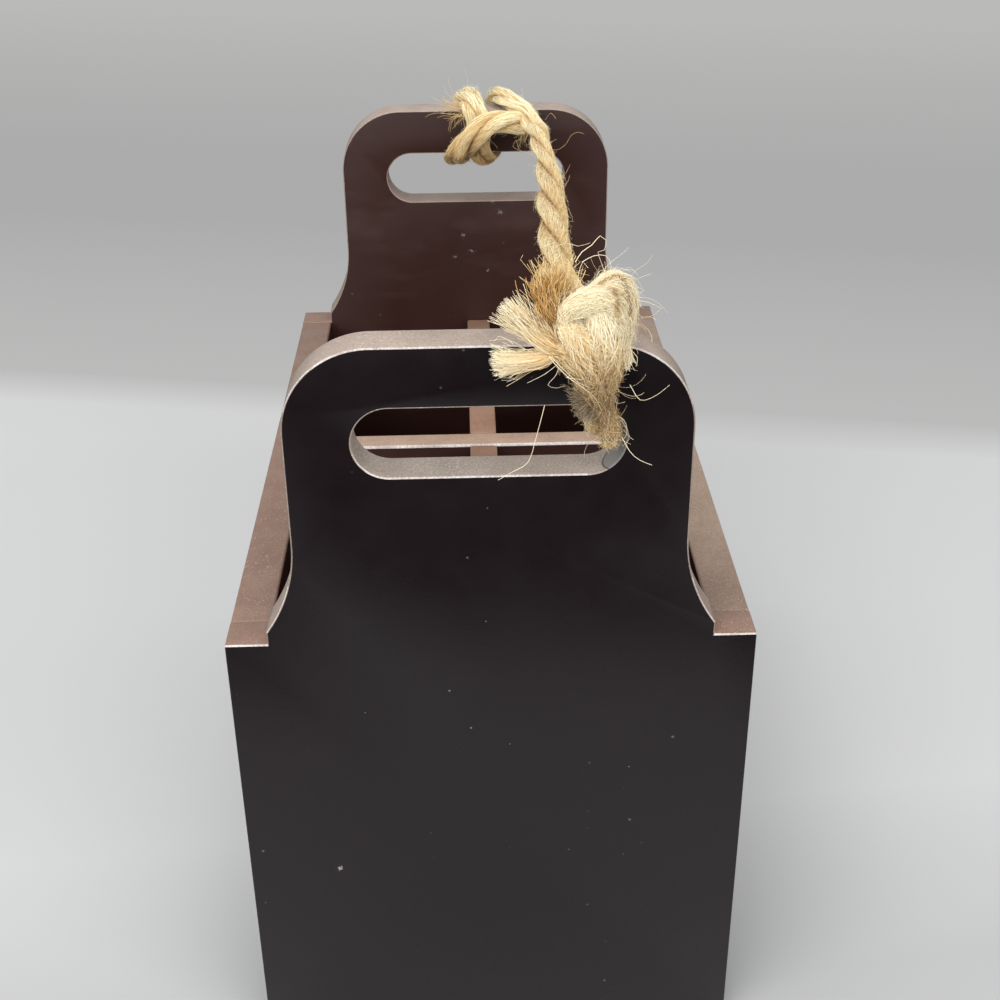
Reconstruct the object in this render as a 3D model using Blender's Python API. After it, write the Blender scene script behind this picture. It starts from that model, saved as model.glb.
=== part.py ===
"""Wooden seed box with a rope handle.

Two end panels with arched handles stand on either end of two side panels. A floor and two
cross-lapped dividers fill the inside and make four compartments. A jute rope is hitched
round the bar above each hand slot and hangs between the two handles.

Metres. X runs across the box, Y along it with the front end at -Y, Z up. The origin is in
the middle of the underside.
"""

import math

import bmesh
import bpy
from mathutils import Vector

# Box, outside sizes
BOX_WIDTH = 0.150
BOX_LENGTH = 0.256
BODY_HEIGHT = 0.152          # underside to the tops of the sides

# Boards
END_THICKNESS = 0.012
SIDE_THICKNESS = 0.012
FLOOR_THICKNESS = 0.0095
DIVIDER_THICKNESS = 0.0095
ARRIS = 0.0008               # rounding of the sanded edges
JOINT_GAP = 0.0003           # glue line between boards, and round whatever sits in a cut

# Arched handle on each end panel
HANDLE_RISE = 0.089          # tops of the sides to the top of the handle
HANDLE_CORNER = 0.024        # radius of its two top corners
FLARE_REACH = 0.009          # how far the flare's foot stands out from the handle's side
FLARE_TOP = 0.032            # height over the shoulder at which the sides turn upright
SHOULDER_STEP = 0.004        # upright step between shoulder and flare
BAR_HEIGHT = 0.017           # wood left over the hand slot
SLOT_HEIGHT = 0.020
SLOT_CHEEK = 0.018           # wood left on either side of the hand slot

# Brads that pin the glued joints
BRAD_LENGTH = 0.030
BRAD_RADIUS = 0.0007
BRAD_HEAD_RADIUS = 0.0013
BRAD_HEAD_HEIGHT = 0.0012
BRAD_POINT = 0.002
BRAD_SINK = 0.0008           # head below the face, where filler and paint cover it
BRAD_EDGE = 0.022            # nearest brad to the end of a joint
CORNER_BRADS = 3             # in each upright corner joint
FLOOR_BRADS = 2              # in each edge of the floor
DIVIDER_BRADS = 2            # in each end of a divider

# Rope
ROPE_DIAMETER = 0.0096
ROPE_SLACK = 0.0006          # air between the rope and the bar it goes round
ROPE_FROM_SLOT_END = 0.0095  # free rope's line, in from the right-hand ends of the slots
ROPE_DROP = 0.004            # free rope's ends below the tops of the bars
SPAN_SPACING = 0.008         # between the points of the free rope
LEAD_SPACING = 0.003         # between the points of the runs into and out of a hitch
CORNER_POINTS = 4            # of a loop, round each corner of the bar
FACE_POINTS = 2              # of a loop, along each face of the bar
REAR_HITCH_REACH = 0.026     # from the middle of the rear bar to the end of its hitch
FRONT_HITCH_REACH = 0.036

# Worked out from the sizes above
BAR_Y = BOX_LENGTH / 2 - END_THICKNESS / 2
HANDLE_TOP = BODY_HEIGHT + HANDLE_RISE
SLOT_TOP = HANDLE_TOP - BAR_HEIGHT
SLOT_MIDDLE = SLOT_TOP - SLOT_HEIGHT / 2
HANDLE_HALF = BOX_WIDTH / 2 - SIDE_THICKNESS - FLARE_REACH
SLOT_HALF = HANDLE_HALF - SLOT_CHEEK
INNER_WIDTH = BOX_WIDTH - 2 * SIDE_THICKNESS
INNER_LENGTH = BOX_LENGTH - 2 * END_THICKNESS
DIVIDER_HEIGHT = BODY_HEIGHT - FLOOR_THICKNESS - JOINT_GAP
ROPE_RADIUS = ROPE_DIAMETER / 2
ROPE_X = SLOT_HALF - ROPE_FROM_SLOT_END
ROPE_Z = HANDLE_TOP - ROPE_DROP
LOOP_POINTS = 4 * (CORNER_POINTS + FACE_POINTS)

# Colours as linear RGB, with roughness
PAINT_OUTSIDE = ((0.014, 0.011, 0.012), 0.42)
PAINT_INSIDE = ((0.045, 0.024, 0.020), 0.55)
PAINT_EDGE = ((0.060, 0.040, 0.034), 0.50)
STEEL = ((0.45, 0.44, 0.42), 0.35)
JUTE = ((0.62, 0.49, 0.28), 0.90)
JUTE_DARK = ((0.50, 0.33, 0.15), 0.92)


def clear_scene():
    for item in list(bpy.data.objects):
        bpy.data.objects.remove(item, do_unlink=True)


def new_collection(name):
    collection = bpy.data.collections.new(name)
    bpy.context.scene.collection.children.link(collection)
    return collection


def make_material(name, finish, metallic=0.0):
    colour, roughness = finish
    material = bpy.data.materials.new(name)
    material.use_nodes = True
    shader = material.node_tree.nodes["Principled BSDF"]
    shader.inputs["Base Color"].default_value = (*colour, 1.0)
    shader.inputs["Roughness"].default_value = roughness
    shader.inputs["Metallic"].default_value = metallic
    return material


def add_object(name, data, collection, material=None):
    item = bpy.data.objects.new(name, data)
    collection.objects.link(item)
    if material is not None:
        data.materials.append(material)
    return item


def add_cutter(name, data, collection):
    """A shape that only cuts or joins: seen as a wire and never rendered."""
    item = add_object(name, data, collection)
    item.hide_render = True
    item.display_type = "WIRE"
    return item


def add_boolean(item, other, operation):
    modifier = item.modifiers.new(other.name, "BOOLEAN")
    modifier.operation = operation
    modifier.solver = "EXACT"
    modifier.object = other


def arc(centre, radius, start, end, steps):
    """Points on an arc, angles in degrees, both ends included."""
    points = []
    for step in range(steps + 1):
        angle = math.radians(start + (end - start) * step / steps)
        points.append((centre[0] + radius * math.cos(angle), centre[1] + radius * math.sin(angle)))
    return points


def board_mesh(name, size, rounded):
    """A board centred on its own origin. rounded(a, b) picks the edges that are sanded round."""
    bm = bmesh.new()
    bmesh.ops.create_cube(bm, size=1.0)
    bmesh.ops.scale(bm, vec=size, verts=bm.verts)
    edges = [edge for edge in bm.edges if rounded(edge.verts[0].co, edge.verts[1].co)]
    if edges:
        bmesh.ops.bevel(bm, geom=edges, offset=ARRIS, affect="EDGES", segments=2, profile=0.5,
                        material=-1, clamp_overlap=True)
    mesh = bpy.data.meshes.new(name)
    bm.to_mesh(mesh)
    bm.free()
    return mesh


def end_panel_outline():
    """Right half from the underside to the top, then mirrored: X and height."""
    half = BOX_WIDTH / 2
    foot = half - SIDE_THICKNESS
    rise = FLARE_TOP - SHOULDER_STEP
    flare_radius = (FLARE_REACH ** 2 + rise ** 2) / (2 * FLARE_REACH)
    sweep = math.degrees(math.asin(rise / flare_radius))
    corner = HANDLE_CORNER
    right = [(half, 0.0), (half, BODY_HEIGHT), (foot, BODY_HEIGHT)]
    right += arc((HANDLE_HALF + flare_radius, BODY_HEIGHT + FLARE_TOP), flare_radius,
                 180 + sweep, 180, 8)
    right += arc((HANDLE_HALF - corner, HANDLE_TOP - corner), corner, 0, 90, 10)
    left = [(-x, z) for x, z in reversed(right)]
    return right + left


def slot_outline():
    radius = SLOT_HEIGHT / 2
    reach = SLOT_HALF - radius
    right = arc((reach, SLOT_MIDDLE), radius, -90, 90, 12)
    left = arc((-reach, SLOT_MIDDLE), radius, 90, 270, 12)
    return right + left


def flat_board_from_outlines(name, outlines, thickness, sanded):
    """Outlines drawn as X and height, filled and given a thickness along Y.

    sanded(a, b) picks the edges that are rounded.
    """
    curve = bpy.data.curves.new(name, "CURVE")
    curve.dimensions = "2D"
    curve.fill_mode = "BOTH"
    curve.extrude = thickness / 2
    for outline in outlines:
        spline = curve.splines.new("POLY")
        spline.points.add(len(outline) - 1)
        for point, (x, z) in zip(spline.points, outline):
            point.co = (x, z, 0.0, 1.0)
        spline.use_cyclic_u = True
    drawn = bpy.data.objects.new(name, curve)
    bpy.context.scene.collection.objects.link(drawn)
    drawn.rotation_euler = (math.radians(90), 0.0, 0.0)
    bpy.context.view_layer.update()
    solid = drawn.evaluated_get(bpy.context.evaluated_depsgraph_get())
    mesh = bpy.data.meshes.new_from_object(solid)
    mesh.transform(drawn.matrix_world)
    bpy.data.objects.remove(drawn, do_unlink=True)
    bm = bmesh.new()
    bm.from_mesh(mesh)
    bmesh.ops.remove_doubles(bm, verts=bm.verts, dist=0.00001)
    bmesh.ops.recalc_face_normals(bm, faces=bm.faces)
    bmesh.ops.dissolve_limit(bm, angle_limit=math.radians(1), verts=bm.verts, edges=bm.edges)
    sharp = [edge for edge in bm.edges if edge.calc_face_angle(0.0) > math.radians(60)]
    arrises = [edge for edge in sharp if sanded(edge.verts[0].co, edge.verts[1].co)]
    bmesh.ops.bevel(bm, geom=arrises, offset=ARRIS, affect="EDGES", segments=2, profile=0.5,
                    material=-1, clamp_overlap=True)
    bm.to_mesh(mesh)
    bm.free()
    mesh.name = name
    return mesh


def make_end_panels(collection, material):
    panels = []
    for name, side in (("front_end_panel", -1), ("rear_end_panel", 1)):
        def sanded(a, b, outward=side):
            """The edges round both faces, but not the underside, nor where the sides butt on."""
            middle = (a + b) / 2
            across = abs(a.y - b.y) > END_THICKNESS / 4
            at_joint = middle.y * outward < 0 and middle.z < BODY_HEIGHT + ARRIS
            return not (across or at_joint or middle.z < ARRIS)

        outlines = [end_panel_outline(), slot_outline()]
        mesh = flat_board_from_outlines(name, outlines, END_THICKNESS, sanded)
        panel = add_object(name, mesh, collection, material)
        panel.location = (0.0, side * BAR_Y, 0.0)
        mesh.shade_smooth()
        mesh.set_sharp_from_angle(angle=math.radians(35))
        panels.append(panel)
    return panels


def make_side_panels(collection, material):
    def top_long_edge(a, b):
        return a.z > 0 and b.z > 0 and abs(a.x - b.x) < ARRIS

    size = (SIDE_THICKNESS, INNER_LENGTH - 2 * JOINT_GAP, BODY_HEIGHT)
    panels = []
    for name, side in (("left_side_panel", -1), ("right_side_panel", 1)):
        panel = add_object(name, board_mesh(name, size, top_long_edge), collection, material)
        panel.location = (side * (BOX_WIDTH - SIDE_THICKNESS) / 2, 0.0, BODY_HEIGHT / 2)
        panels.append(panel)
    return panels


def make_floor(collection, material):
    size = (INNER_WIDTH - 2 * JOINT_GAP, INNER_LENGTH - 2 * JOINT_GAP, FLOOR_THICKNESS)
    floor = add_object("floor_board", board_mesh("floor_board", size, lambda a, b: False), collection, material)
    floor.location = (0.0, 0.0, FLOOR_THICKNESS / 2)
    return floor


def make_dividers(collection, cutters, material):
    """Halved together where they cross: the long one is notched from above, the other from below."""
    middle = FLOOR_THICKNESS + JOINT_GAP + DIVIDER_HEIGHT / 2

    def top_along_y(a, b):
        return a.z > 0 and b.z > 0 and abs(a.x - b.x) < ARRIS

    def top_along_x(a, b):
        return a.z > 0 and b.z > 0 and abs(a.y - b.y) < ARRIS

    long_size = (DIVIDER_THICKNESS, INNER_LENGTH - 2 * JOINT_GAP, DIVIDER_HEIGHT)
    long_divider = add_object("long_divider", board_mesh("long_divider", long_size, top_along_y), collection, material)
    long_divider.location = (0.0, 0.0, middle)
    cross_size = (INNER_WIDTH - 2 * JOINT_GAP, DIVIDER_THICKNESS, DIVIDER_HEIGHT)
    cross_divider = add_object("cross_divider", board_mesh("cross_divider", cross_size, top_along_x), collection, material)
    cross_divider.location = (0.0, 0.0, middle)

    notch = DIVIDER_THICKNESS + 2 * JOINT_GAP
    depth = DIVIDER_HEIGHT / 2 + JOINT_GAP / 2
    overshoot = DIVIDER_THICKNESS
    for divider, direction in ((long_divider, 1), (cross_divider, -1)):
        size = (notch, notch, depth + overshoot)
        cutter = add_cutter(divider.name + "_notch", board_mesh("notch", size, lambda a, b: False), cutters)
        cutter.location = (0.0, 0.0, middle + direction * (DIVIDER_HEIGHT - depth + overshoot) / 2)
        add_boolean(divider, cutter, "DIFFERENCE")
    return long_divider, cross_divider


def turned_mesh(name, profile, sides=8):
    """Profile of radius and height, top to bottom, both ends on the axis, turned about Z."""
    bm = bmesh.new()
    verts = [bm.verts.new((radius, 0.0, height)) for radius, height in profile]
    edges = [bm.edges.new(pair) for pair in zip(verts, verts[1:])]
    bmesh.ops.spin(bm, geom=verts + edges, cent=(0, 0, 0), axis=(0, 0, 1), angle=math.tau, steps=sides,
                   use_merge=True)
    bmesh.ops.remove_doubles(bm, verts=bm.verts, dist=0.00001)
    bmesh.ops.recalc_face_normals(bm, faces=bm.faces)
    mesh = bpy.data.meshes.new(name)
    bm.to_mesh(mesh)
    bm.free()
    mesh.shade_smooth()
    mesh.set_sharp_from_angle(angle=math.radians(50))
    return mesh


def brad_mesh():
    """Head at the origin, point down the -Z axis."""
    neck = -BRAD_HEAD_HEIGHT
    return turned_mesh("brad", [(0.0, 0.0), (BRAD_HEAD_RADIUS, 0.0), (BRAD_RADIUS, neck),
                                (BRAD_RADIUS, BRAD_POINT - BRAD_LENGTH), (0.0, -BRAD_LENGTH)])


def brad_hole_mesh():
    """The room a brad needs: its own outline and a gap, open above the head."""
    gap = JOINT_GAP
    neck = -BRAD_HEAD_HEIGHT - gap
    mouth = BRAD_SINK + ARRIS
    head = BRAD_HEAD_RADIUS + gap
    shank = BRAD_RADIUS + gap
    return turned_mesh("brad_hole", [(0.0, mouth), (head, mouth), (head, 0.0), (shank, neck),
                                     (shank, BRAD_POINT - BRAD_LENGTH - gap), (0.0, -BRAD_LENGTH - gap)])


def spread(first, last, count):
    return [first + (last - first) * index / (count - 1) for index in range(count)]


def brad_places(boards):
    """Name, place of the face it goes in at, inward direction, and the two boards it pins."""
    front, rear, left, right, floor, long_divider, cross_divider = boards
    side_x = (BOX_WIDTH - SIDE_THICKNESS) / 2
    corner_heights = spread(BRAD_EDGE, BODY_HEIGHT - BRAD_EDGE, CORNER_BRADS)
    divider_heights = spread(FLOOR_THICKNESS + BRAD_EDGE, BODY_HEIGHT - BRAD_EDGE, DIVIDER_BRADS)
    floor_z = FLOOR_THICKNESS / 2
    floor_x = INNER_WIDTH / 2 - BRAD_EDGE
    floor_y = INNER_LENGTH / 2 - BRAD_EDGE
    places = []
    for end, sign in ((front, -1), (rear, 1)):
        label = "front" if sign < 0 else "rear"
        face = sign * BOX_LENGTH / 2
        inward = Vector((0.0, -sign, 0.0))
        for side, x in ((left, -side_x), (right, side_x)):
            side_label = "left" if x < 0 else "right"
            for index, z in enumerate(corner_heights, 1):
                places.append((f"{label}_{side_label}_corner_brad_{index}", (x, face, z), inward, (end, side)))
        for index, x in enumerate(spread(-floor_x, floor_x, FLOOR_BRADS), 1):
            places.append((f"{label}_floor_brad_{index}", (x, face, floor_z), inward, (end, floor)))
        for index, z in enumerate(divider_heights, 1):
            places.append((f"{label}_divider_brad_{index}", (0.0, face, z), inward, (end, long_divider)))
    for side, sign in ((left, -1), (right, 1)):
        label = "left" if sign < 0 else "right"
        face = sign * BOX_WIDTH / 2
        inward = Vector((-sign, 0.0, 0.0))
        for index, y in enumerate(spread(-floor_y, floor_y, FLOOR_BRADS), 1):
            places.append((f"{label}_floor_brad_{index}", (face, y, floor_z), inward, (side, floor)))
        for index, z in enumerate(divider_heights, 1):
            places.append((f"{label}_divider_brad_{index}", (face, 0.0, z), inward, (side, cross_divider)))
    return places


def make_brads(boards, collection, cutters, material):
    brad = brad_mesh()
    brad.materials.append(material)
    hole = brad_hole_mesh()
    for name, face, inward, pinned in brad_places(boards):
        turn = Vector((0.0, 0.0, -1.0)).rotation_difference(inward)
        head = Vector(face) + inward * BRAD_SINK
        item = add_object(name, brad, collection)
        cutter = add_cutter(name + "_hole", hole, cutters)
        for placed in (item, cutter):
            placed.location = head
            placed.rotation_mode = "QUATERNION"
            placed.rotation_quaternion = turn
        for board in pinned:
            add_boolean(board, cutter, "DIFFERENCE")


def smooth_route(points, spacing):
    """Points about one spacing apart on a smooth curve through the route's own points."""
    points = [Vector(point) for point in points]
    ends = [2 * points[0] - points[1]] + points + [2 * points[-1] - points[-2]]
    route = []
    for index in range(1, len(ends) - 2):
        before, start, end, after = ends[index - 1:index + 3]
        steps = max(1, round((end - start).length / spacing))
        for step in range(steps):
            t = step / steps
            route.append(0.5 * (2 * start + (end - before) * t
                                + (2 * before - 5 * start + 4 * end - after) * t ** 2
                                + (3 * start - before - 3 * end + after) * t ** 3))
    route.append(points[-1])
    return route


def bar_section(step):
    """Where a rope's middle lies at one of a loop's steps: outward of the bar's middle, and up.

    The steps run along the top, the outer face, the underside and the inner face back to the top.
    """
    reach = ROPE_RADIUS + ROPE_SLACK + ARRIS
    half_y = END_THICKNESS / 2 - ARRIS
    half_z = BAR_HEIGHT / 2 - ARRIS
    corners = ((half_y, half_z, 90), (half_y, -half_z, 0), (-half_y, -half_z, -90), (-half_y, half_z, -180))
    side, place = divmod(step % LOOP_POINTS, CORNER_POINTS + FACE_POINTS)
    out, up, turn = corners[side]
    if place >= FACE_POINTS:
        angle = math.radians(turn - 90 * (place - FACE_POINTS) / (CORNER_POINTS - 1))
        return out + reach * math.cos(angle), up + reach * math.sin(angle)
    last_out, last_up, _ = corners[side - 1]
    share = (place + 1) / (FACE_POINTS + 1)
    angle = math.radians(turn)
    return (last_out + (out - last_out) * share + reach * math.cos(angle),
            last_up + (up - last_up) * share + reach * math.sin(angle))


def wound_run(places):
    """Points round the bar, from the top outward. places pairs loops made with X there, in mm."""
    run = []
    for step in range(round(places[-1][0] * LOOP_POINTS) + 1):
        loops = step / LOOP_POINTS
        index = max(i for i, place in enumerate(places[:-1]) if place[0] <= loops)
        (start, start_x), (end, end_x) = places[index:index + 2]
        x = start_x + (end_x - start_x) * (loops - start) / (end - start)
        out, up = bar_section(step)
        run.append((x / 1000, out, up))
    return run


def to_box(points, sign):
    """From X off the free rope's line, outward of the bar's middle and up from it, to the box's axes."""
    middle = HANDLE_TOP - BAR_HEIGHT / 2
    return [Vector((ROPE_X + x, sign * (BAR_Y + out), middle + up)) for x, out, up in points]


def from_bar_top(points):
    """Hand-placed points in mm: X off the free rope's line, outward of the bar's middle, up from its top."""
    return [(x / 1000, out / 1000, up / 1000 + BAR_HEIGHT / 2) for x, out, up in points]


def hitch_start(reach):
    """Where a hitch meets the free rope: straight and level for one diameter."""
    up = BAR_HEIGHT / 2 - ROPE_DROP
    return [(0.0, -reach + JOINT_GAP / 2, up), (0.0, -reach + ROPE_DIAMETER, up)]


def hitch_route(start, rise, turns, leave, sign):
    lead = smooth_route(start + rise + turns[:1], LEAD_SPACING)[:-1]
    tail = smooth_route(turns[-1:] + leave, LEAD_SPACING)[1:]
    return to_box(lead + turns + tail, sign)


def rear_hitch_route():
    """From the free rope over the bar, twice round it, and across the front of both turns."""
    rise = from_bar_top([(-1.7, -12.6, -0.8), (-4.2, -10.9, 2.6), (-7.7, -8.2, 5.2), (-11.3, -5.0, 5.9)])
    turns = wound_run([(0.0, -14.0), (0.5, -21.5), (0.8, -25.5), (1.0, -28.5), (1.6, -34.3)])
    across = from_bar_top([(-34.1, -15.5, -19.0), (-31.3, -20.4, -15.6), (-27.0, -22.4, -12.2),
                           (-22.1, -21.6, -9.6), (-13.5, -17.6, -7.6)])
    return hitch_route(hitch_start(REAR_HITCH_REACH), rise, turns, across, 1)


def front_hitch_route():
    """From the free rope over the bar, down through the slot, up behind, over again and across."""
    rise = from_bar_top([(-0.7, -20.0, -2.7), (-1.6, -14.5, 0.9), (-2.2, -10.4, 4.2), (-2.5, -6.0, 5.8)])
    turns = wound_run([(0.0, -2.5), (0.2, -2.3), (0.35, -0.7), (0.55, 0.3), (0.67, 0.9)])
    over = from_bar_top([(5.1, -12.0, -10.4), (8.3, -12.6, -3.0), (9.1, -10.8, 4.6), (9.0, -5.4, 9.6),
                         (8.6, 1.0, 11.2), (8.1, 7.2, 10.2), (6.9, 13.2, 8.4), (4.7, 18.4, 5.6),
                         (1.5, 21.4, 3.2), (-7.9, 22.8, 1.6)])
    return hitch_route(hitch_start(FRONT_HITCH_REACH), rise, turns, over, -1)


def span_route():
    """The free rope, slack between the hitches and level where it meets them."""
    rear = BAR_Y - REAR_HITCH_REACH - JOINT_GAP / 2
    front = -BAR_Y + FRONT_HITCH_REACH + JOINT_GAP / 2
    # Share of the way from rear to front, then aside and down in mm.
    hang = [(0.195, 0.8, 2.6), (0.338, 0.6, 4.6), (0.515, -0.7, 5.6), (0.713, -1.1, 4.2), (0.857, -0.4, 1.7)]
    points = [(ROPE_X, rear, ROPE_Z), (ROPE_X, rear - ROPE_DIAMETER, ROPE_Z)]
    points += [(ROPE_X + aside / 1000, rear + (front - rear) * share, ROPE_Z - down / 1000)
               for share, aside, down in hang]
    points += [(ROPE_X, front + ROPE_DIAMETER, ROPE_Z), (ROPE_X, front, ROPE_Z)]
    return smooth_route(points, SPAN_SPACING)


def least_gap(route):
    """Least clear distance between parts of one rope that lie over a bend apart along it."""
    apart = math.pi * ROPE_RADIUS * 1.5
    reach = [0.0]
    for before, after in zip(route, route[1:]):
        reach.append(reach[-1] + (after - before).length)
    gap = math.inf
    for i, first in enumerate(route):
        for j in range(i + 1, len(route)):
            if reach[j] - reach[i] > apart:
                gap = min(gap, (route[j] - first).length - ROPE_DIAMETER)
    return gap


def rope_tube(name, route, resolution, collection, material):
    curve = bpy.data.curves.new(name, "CURVE")
    curve.dimensions = "3D"
    curve.bevel_depth = ROPE_RADIUS
    curve.bevel_resolution = resolution
    curve.use_fill_caps = True
    spline = curve.splines.new("POLY")
    spline.points.add(len(route) - 1)
    for point, place in zip(spline.points, route):
        point.co = (*place, 1.0)
        point.radius = 1.0
    spline.use_smooth = True
    return add_object(name, curve, collection, material)


def tuft_mesh(name, root_radius, tip_radius, length):
    """A brush of fibres: flares from its root at the origin to a low domed tip along +Z."""
    dome = length + tip_radius * 0.25
    return turned_mesh(name, [(0.0, dome), (tip_radius * 0.6, length + tip_radius * 0.12), (tip_radius, length * 0.9),
                              (root_radius * 1.15, length * 0.35), (root_radius, 0.0), (0.0, 0.0)], sides=10)


def make_frayed_end(name, route, tufts, collection, cutters, material):
    """A bound root one gap past the rope's end, with the unlaid strands brushing out from it.

    Each tuft has its tip, in millimetres from the root, and its root and tip radii.
    """
    away = (route[-1] - route[-2]).normalized()
    root = route[-1] + away * JOINT_GAP
    depth = ROPE_RADIUS / 2
    collar = turned_mesh(name, [(0.0, depth), (ROPE_RADIUS * 0.8, depth), (ROPE_RADIUS * 0.95, 0.0), (0.0, 0.0)], sides=10)
    frayed = add_object(name, collar, collection, material)
    frayed.location = root
    frayed.rotation_mode = "QUATERNION"
    frayed.rotation_quaternion = away.to_track_quat("Z", "Y")
    start = root + away * depth * 0.75
    for index, (tip, root_radius, tip_radius) in enumerate(tufts, 1):
        reach = Vector(tip) / 1000
        tuft = add_cutter(f"{name}_tuft_{index}", tuft_mesh("tuft", root_radius, tip_radius, reach.length), cutters)
        tuft.location = start
        tuft.rotation_mode = "QUATERNION"
        tuft.rotation_quaternion = reach.to_track_quat("Z", "Y")
        add_boolean(frayed, tuft, "UNION")
    return frayed


def make_rope(collection, cutters, material, tip_material):
    rear = rear_hitch_route()
    front = front_hitch_route()
    span = span_route()
    rope_tube("rear_rope_hitch", rear, 1, collection, material)
    rope_tube("front_rope_hitch", front, 1, collection, material)
    free = rope_tube("rope_span", span, 3, collection, material)
    # The free rope swings about the line through its two ends.
    pivot = Vector((ROPE_X, 0.0, ROPE_Z))
    hinge = bpy.data.objects.new("rope_swing_axis", None)
    hinge.location = pivot
    collection.objects.link(hinge)
    free.parent = hinge
    free.location = -pivot
    make_frayed_end("front_frayed_end", front,
                    [((-14.6, 7.5, 9.8), 0.0019, 0.0052), ((-15.8, 4.6, -2.6), 0.0019, 0.0050),
                     ((-4.8, 15.4, 17.0), 0.0015, 0.0048), ((-1.5, 5.4, -11.6), 0.0013, 0.0026)],
                    collection, cutters, tip_material)
    make_frayed_end("rear_frayed_end", rear, [((7.0, 2.4, -5.6), 0.0016, 0.0032), ((6.6, -2.4, -2.4), 0.0016, 0.0024)],
                    collection, cutters, tip_material)
    for name, route in (("rear_rope_hitch", rear), ("front_rope_hitch", front)):
        print(f"{name}: least gap to itself {least_gap(route) * 1000:.2f} mm")
    length = sum((b - a).length for route in (rear, span, front) for a, b in zip(route, route[1:]))
    print(f"rope: {length * 1000:.0f} mm long, {len(rear)} + {len(span)} + {len(front)} points")


def main():
    clear_scene()
    collection = new_collection("seed_box")
    cutters = new_collection("seed_box_cutters")
    outside = make_material("painted_end_panel", PAINT_OUTSIDE)
    inside = make_material("painted_divider", PAINT_INSIDE)
    edge = make_material("painted_side_panel", PAINT_EDGE)
    steel = make_material("brad_steel", STEEL, metallic=1.0)
    jute = make_material("jute_rope", JUTE)
    jute_tips = make_material("jute_frayed", JUTE_DARK)

    front, rear = make_end_panels(collection, outside)
    left, right = make_side_panels(collection, edge)
    floor = make_floor(collection, inside)
    long_divider, cross_divider = make_dividers(collection, cutters, inside)
    boards = (front, rear, left, right, floor, long_divider, cross_divider)
    make_brads(boards, collection, cutters, steel)
    make_rope(collection, cutters, jute, jute_tips)


main()
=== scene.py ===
# %% [markdown]
# # A wooden seed box with a jute rope
#
# The real box is made of painted boards, and one old jute rope is hitched round the two handles.
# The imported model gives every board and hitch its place. This lesson dresses it: boards with worn,
# rounded edges, and a rope that is laid from three strands of thousands of fibres.

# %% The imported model
import math

import bmesh
import bpy
import numpy as np
from mathutils import Matrix, Vector


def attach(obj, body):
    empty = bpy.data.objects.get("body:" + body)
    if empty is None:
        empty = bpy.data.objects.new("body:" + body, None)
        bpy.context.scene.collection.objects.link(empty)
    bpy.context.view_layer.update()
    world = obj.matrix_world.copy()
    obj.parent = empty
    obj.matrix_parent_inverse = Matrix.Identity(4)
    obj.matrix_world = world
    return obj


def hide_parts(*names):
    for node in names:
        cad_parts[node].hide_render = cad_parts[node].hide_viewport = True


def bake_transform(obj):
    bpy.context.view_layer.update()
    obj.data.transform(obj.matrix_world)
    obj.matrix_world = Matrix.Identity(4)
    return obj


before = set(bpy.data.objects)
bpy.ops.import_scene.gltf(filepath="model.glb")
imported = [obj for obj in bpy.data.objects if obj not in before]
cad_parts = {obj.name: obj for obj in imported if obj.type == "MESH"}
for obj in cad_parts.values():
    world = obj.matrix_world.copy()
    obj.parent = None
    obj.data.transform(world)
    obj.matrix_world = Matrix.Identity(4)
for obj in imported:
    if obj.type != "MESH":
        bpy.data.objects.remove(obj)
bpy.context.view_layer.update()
scene = bpy.context.scene

# %% [markdown]
# ## From data to objects
#
# Blender keeps shapes as data, such as meshes, curves and lamps, and shows them through objects.
# These helpers put data into the scene, and turn a bmesh form or a drawn curve into a mesh.

# %% Object helpers
def placed(name, data):
    """A new object in the scene."""
    made = bpy.data.objects.new(name, data)
    scene.collection.objects.link(made)
    return made


def mesh_from_form(name, form):
    """The mesh of a finished bmesh form."""
    mesh = bpy.data.meshes.new(name)
    form.to_mesh(mesh)
    form.free()
    return mesh


def add_line(curve, points, closed=False):
    """A straight-sided line in a curve, through points of two or three numbers."""
    spline = curve.splines.new("POLY")
    spline.points.add(len(points) - 1)
    co = np.tile([0.0, 0.0, 0.0, 1.0], (len(points), 1))
    co[:, :len(points[0])] = points
    spline.points.foreach_set("co", co.ravel())
    spline.use_cyclic_u = closed
    return spline


def mesh_from_curve(curve):
    """The mesh that a curve draws, worked out on an object that is removed again."""
    drawn = placed(curve.name, curve)
    bpy.context.view_layer.update()
    depsgraph = bpy.context.evaluated_depsgraph_get()
    mesh = bpy.data.meshes.new_from_object(drawn.evaluated_get(depsgraph))
    bpy.data.objects.remove(drawn, do_unlink=True)
    return mesh


def print_triangles(piece):
    print(piece.name, "triangles:", sum(len(f.vertices) - 2 for f in piece.data.polygons))


print("object helpers ready")

# %% [markdown]
# ## The camera
#
# The photograph was taken from in front and above with a short telephoto view. A camera can be
# aimed with a Track To constraint, but this one was fitted to the straight edges of the box, so its
# three axes are written down as they came out.

# %% Camera
CAMERA_PLACE = Vector((-0.005094, -0.468131, 0.382485))
CAMERA_RIGHT = Vector((0.99954955, -0.02840121, -0.00969866))
CAMERA_UP = Vector((0.02212097, 0.47882239, 0.87763306))
CAMERA_BACK = Vector((-0.02028191, -0.87745227, 0.47923497))

lens = bpy.data.cameras.new("photo_camera")
lens.lens = 52.32
lens.sensor_width = 36.0
lens.clip_start = 0.01
camera = placed("photo_camera", lens)
axes = Matrix((CAMERA_RIGHT, CAMERA_UP, CAMERA_BACK)).transposed()
camera.matrix_world = Matrix.Translation(CAMERA_PLACE) @ axes.to_4x4()
scene.camera = camera
scene.view_settings.view_transform = "Standard"
print("camera height:", round(camera.location.z, 3), "m")

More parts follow.
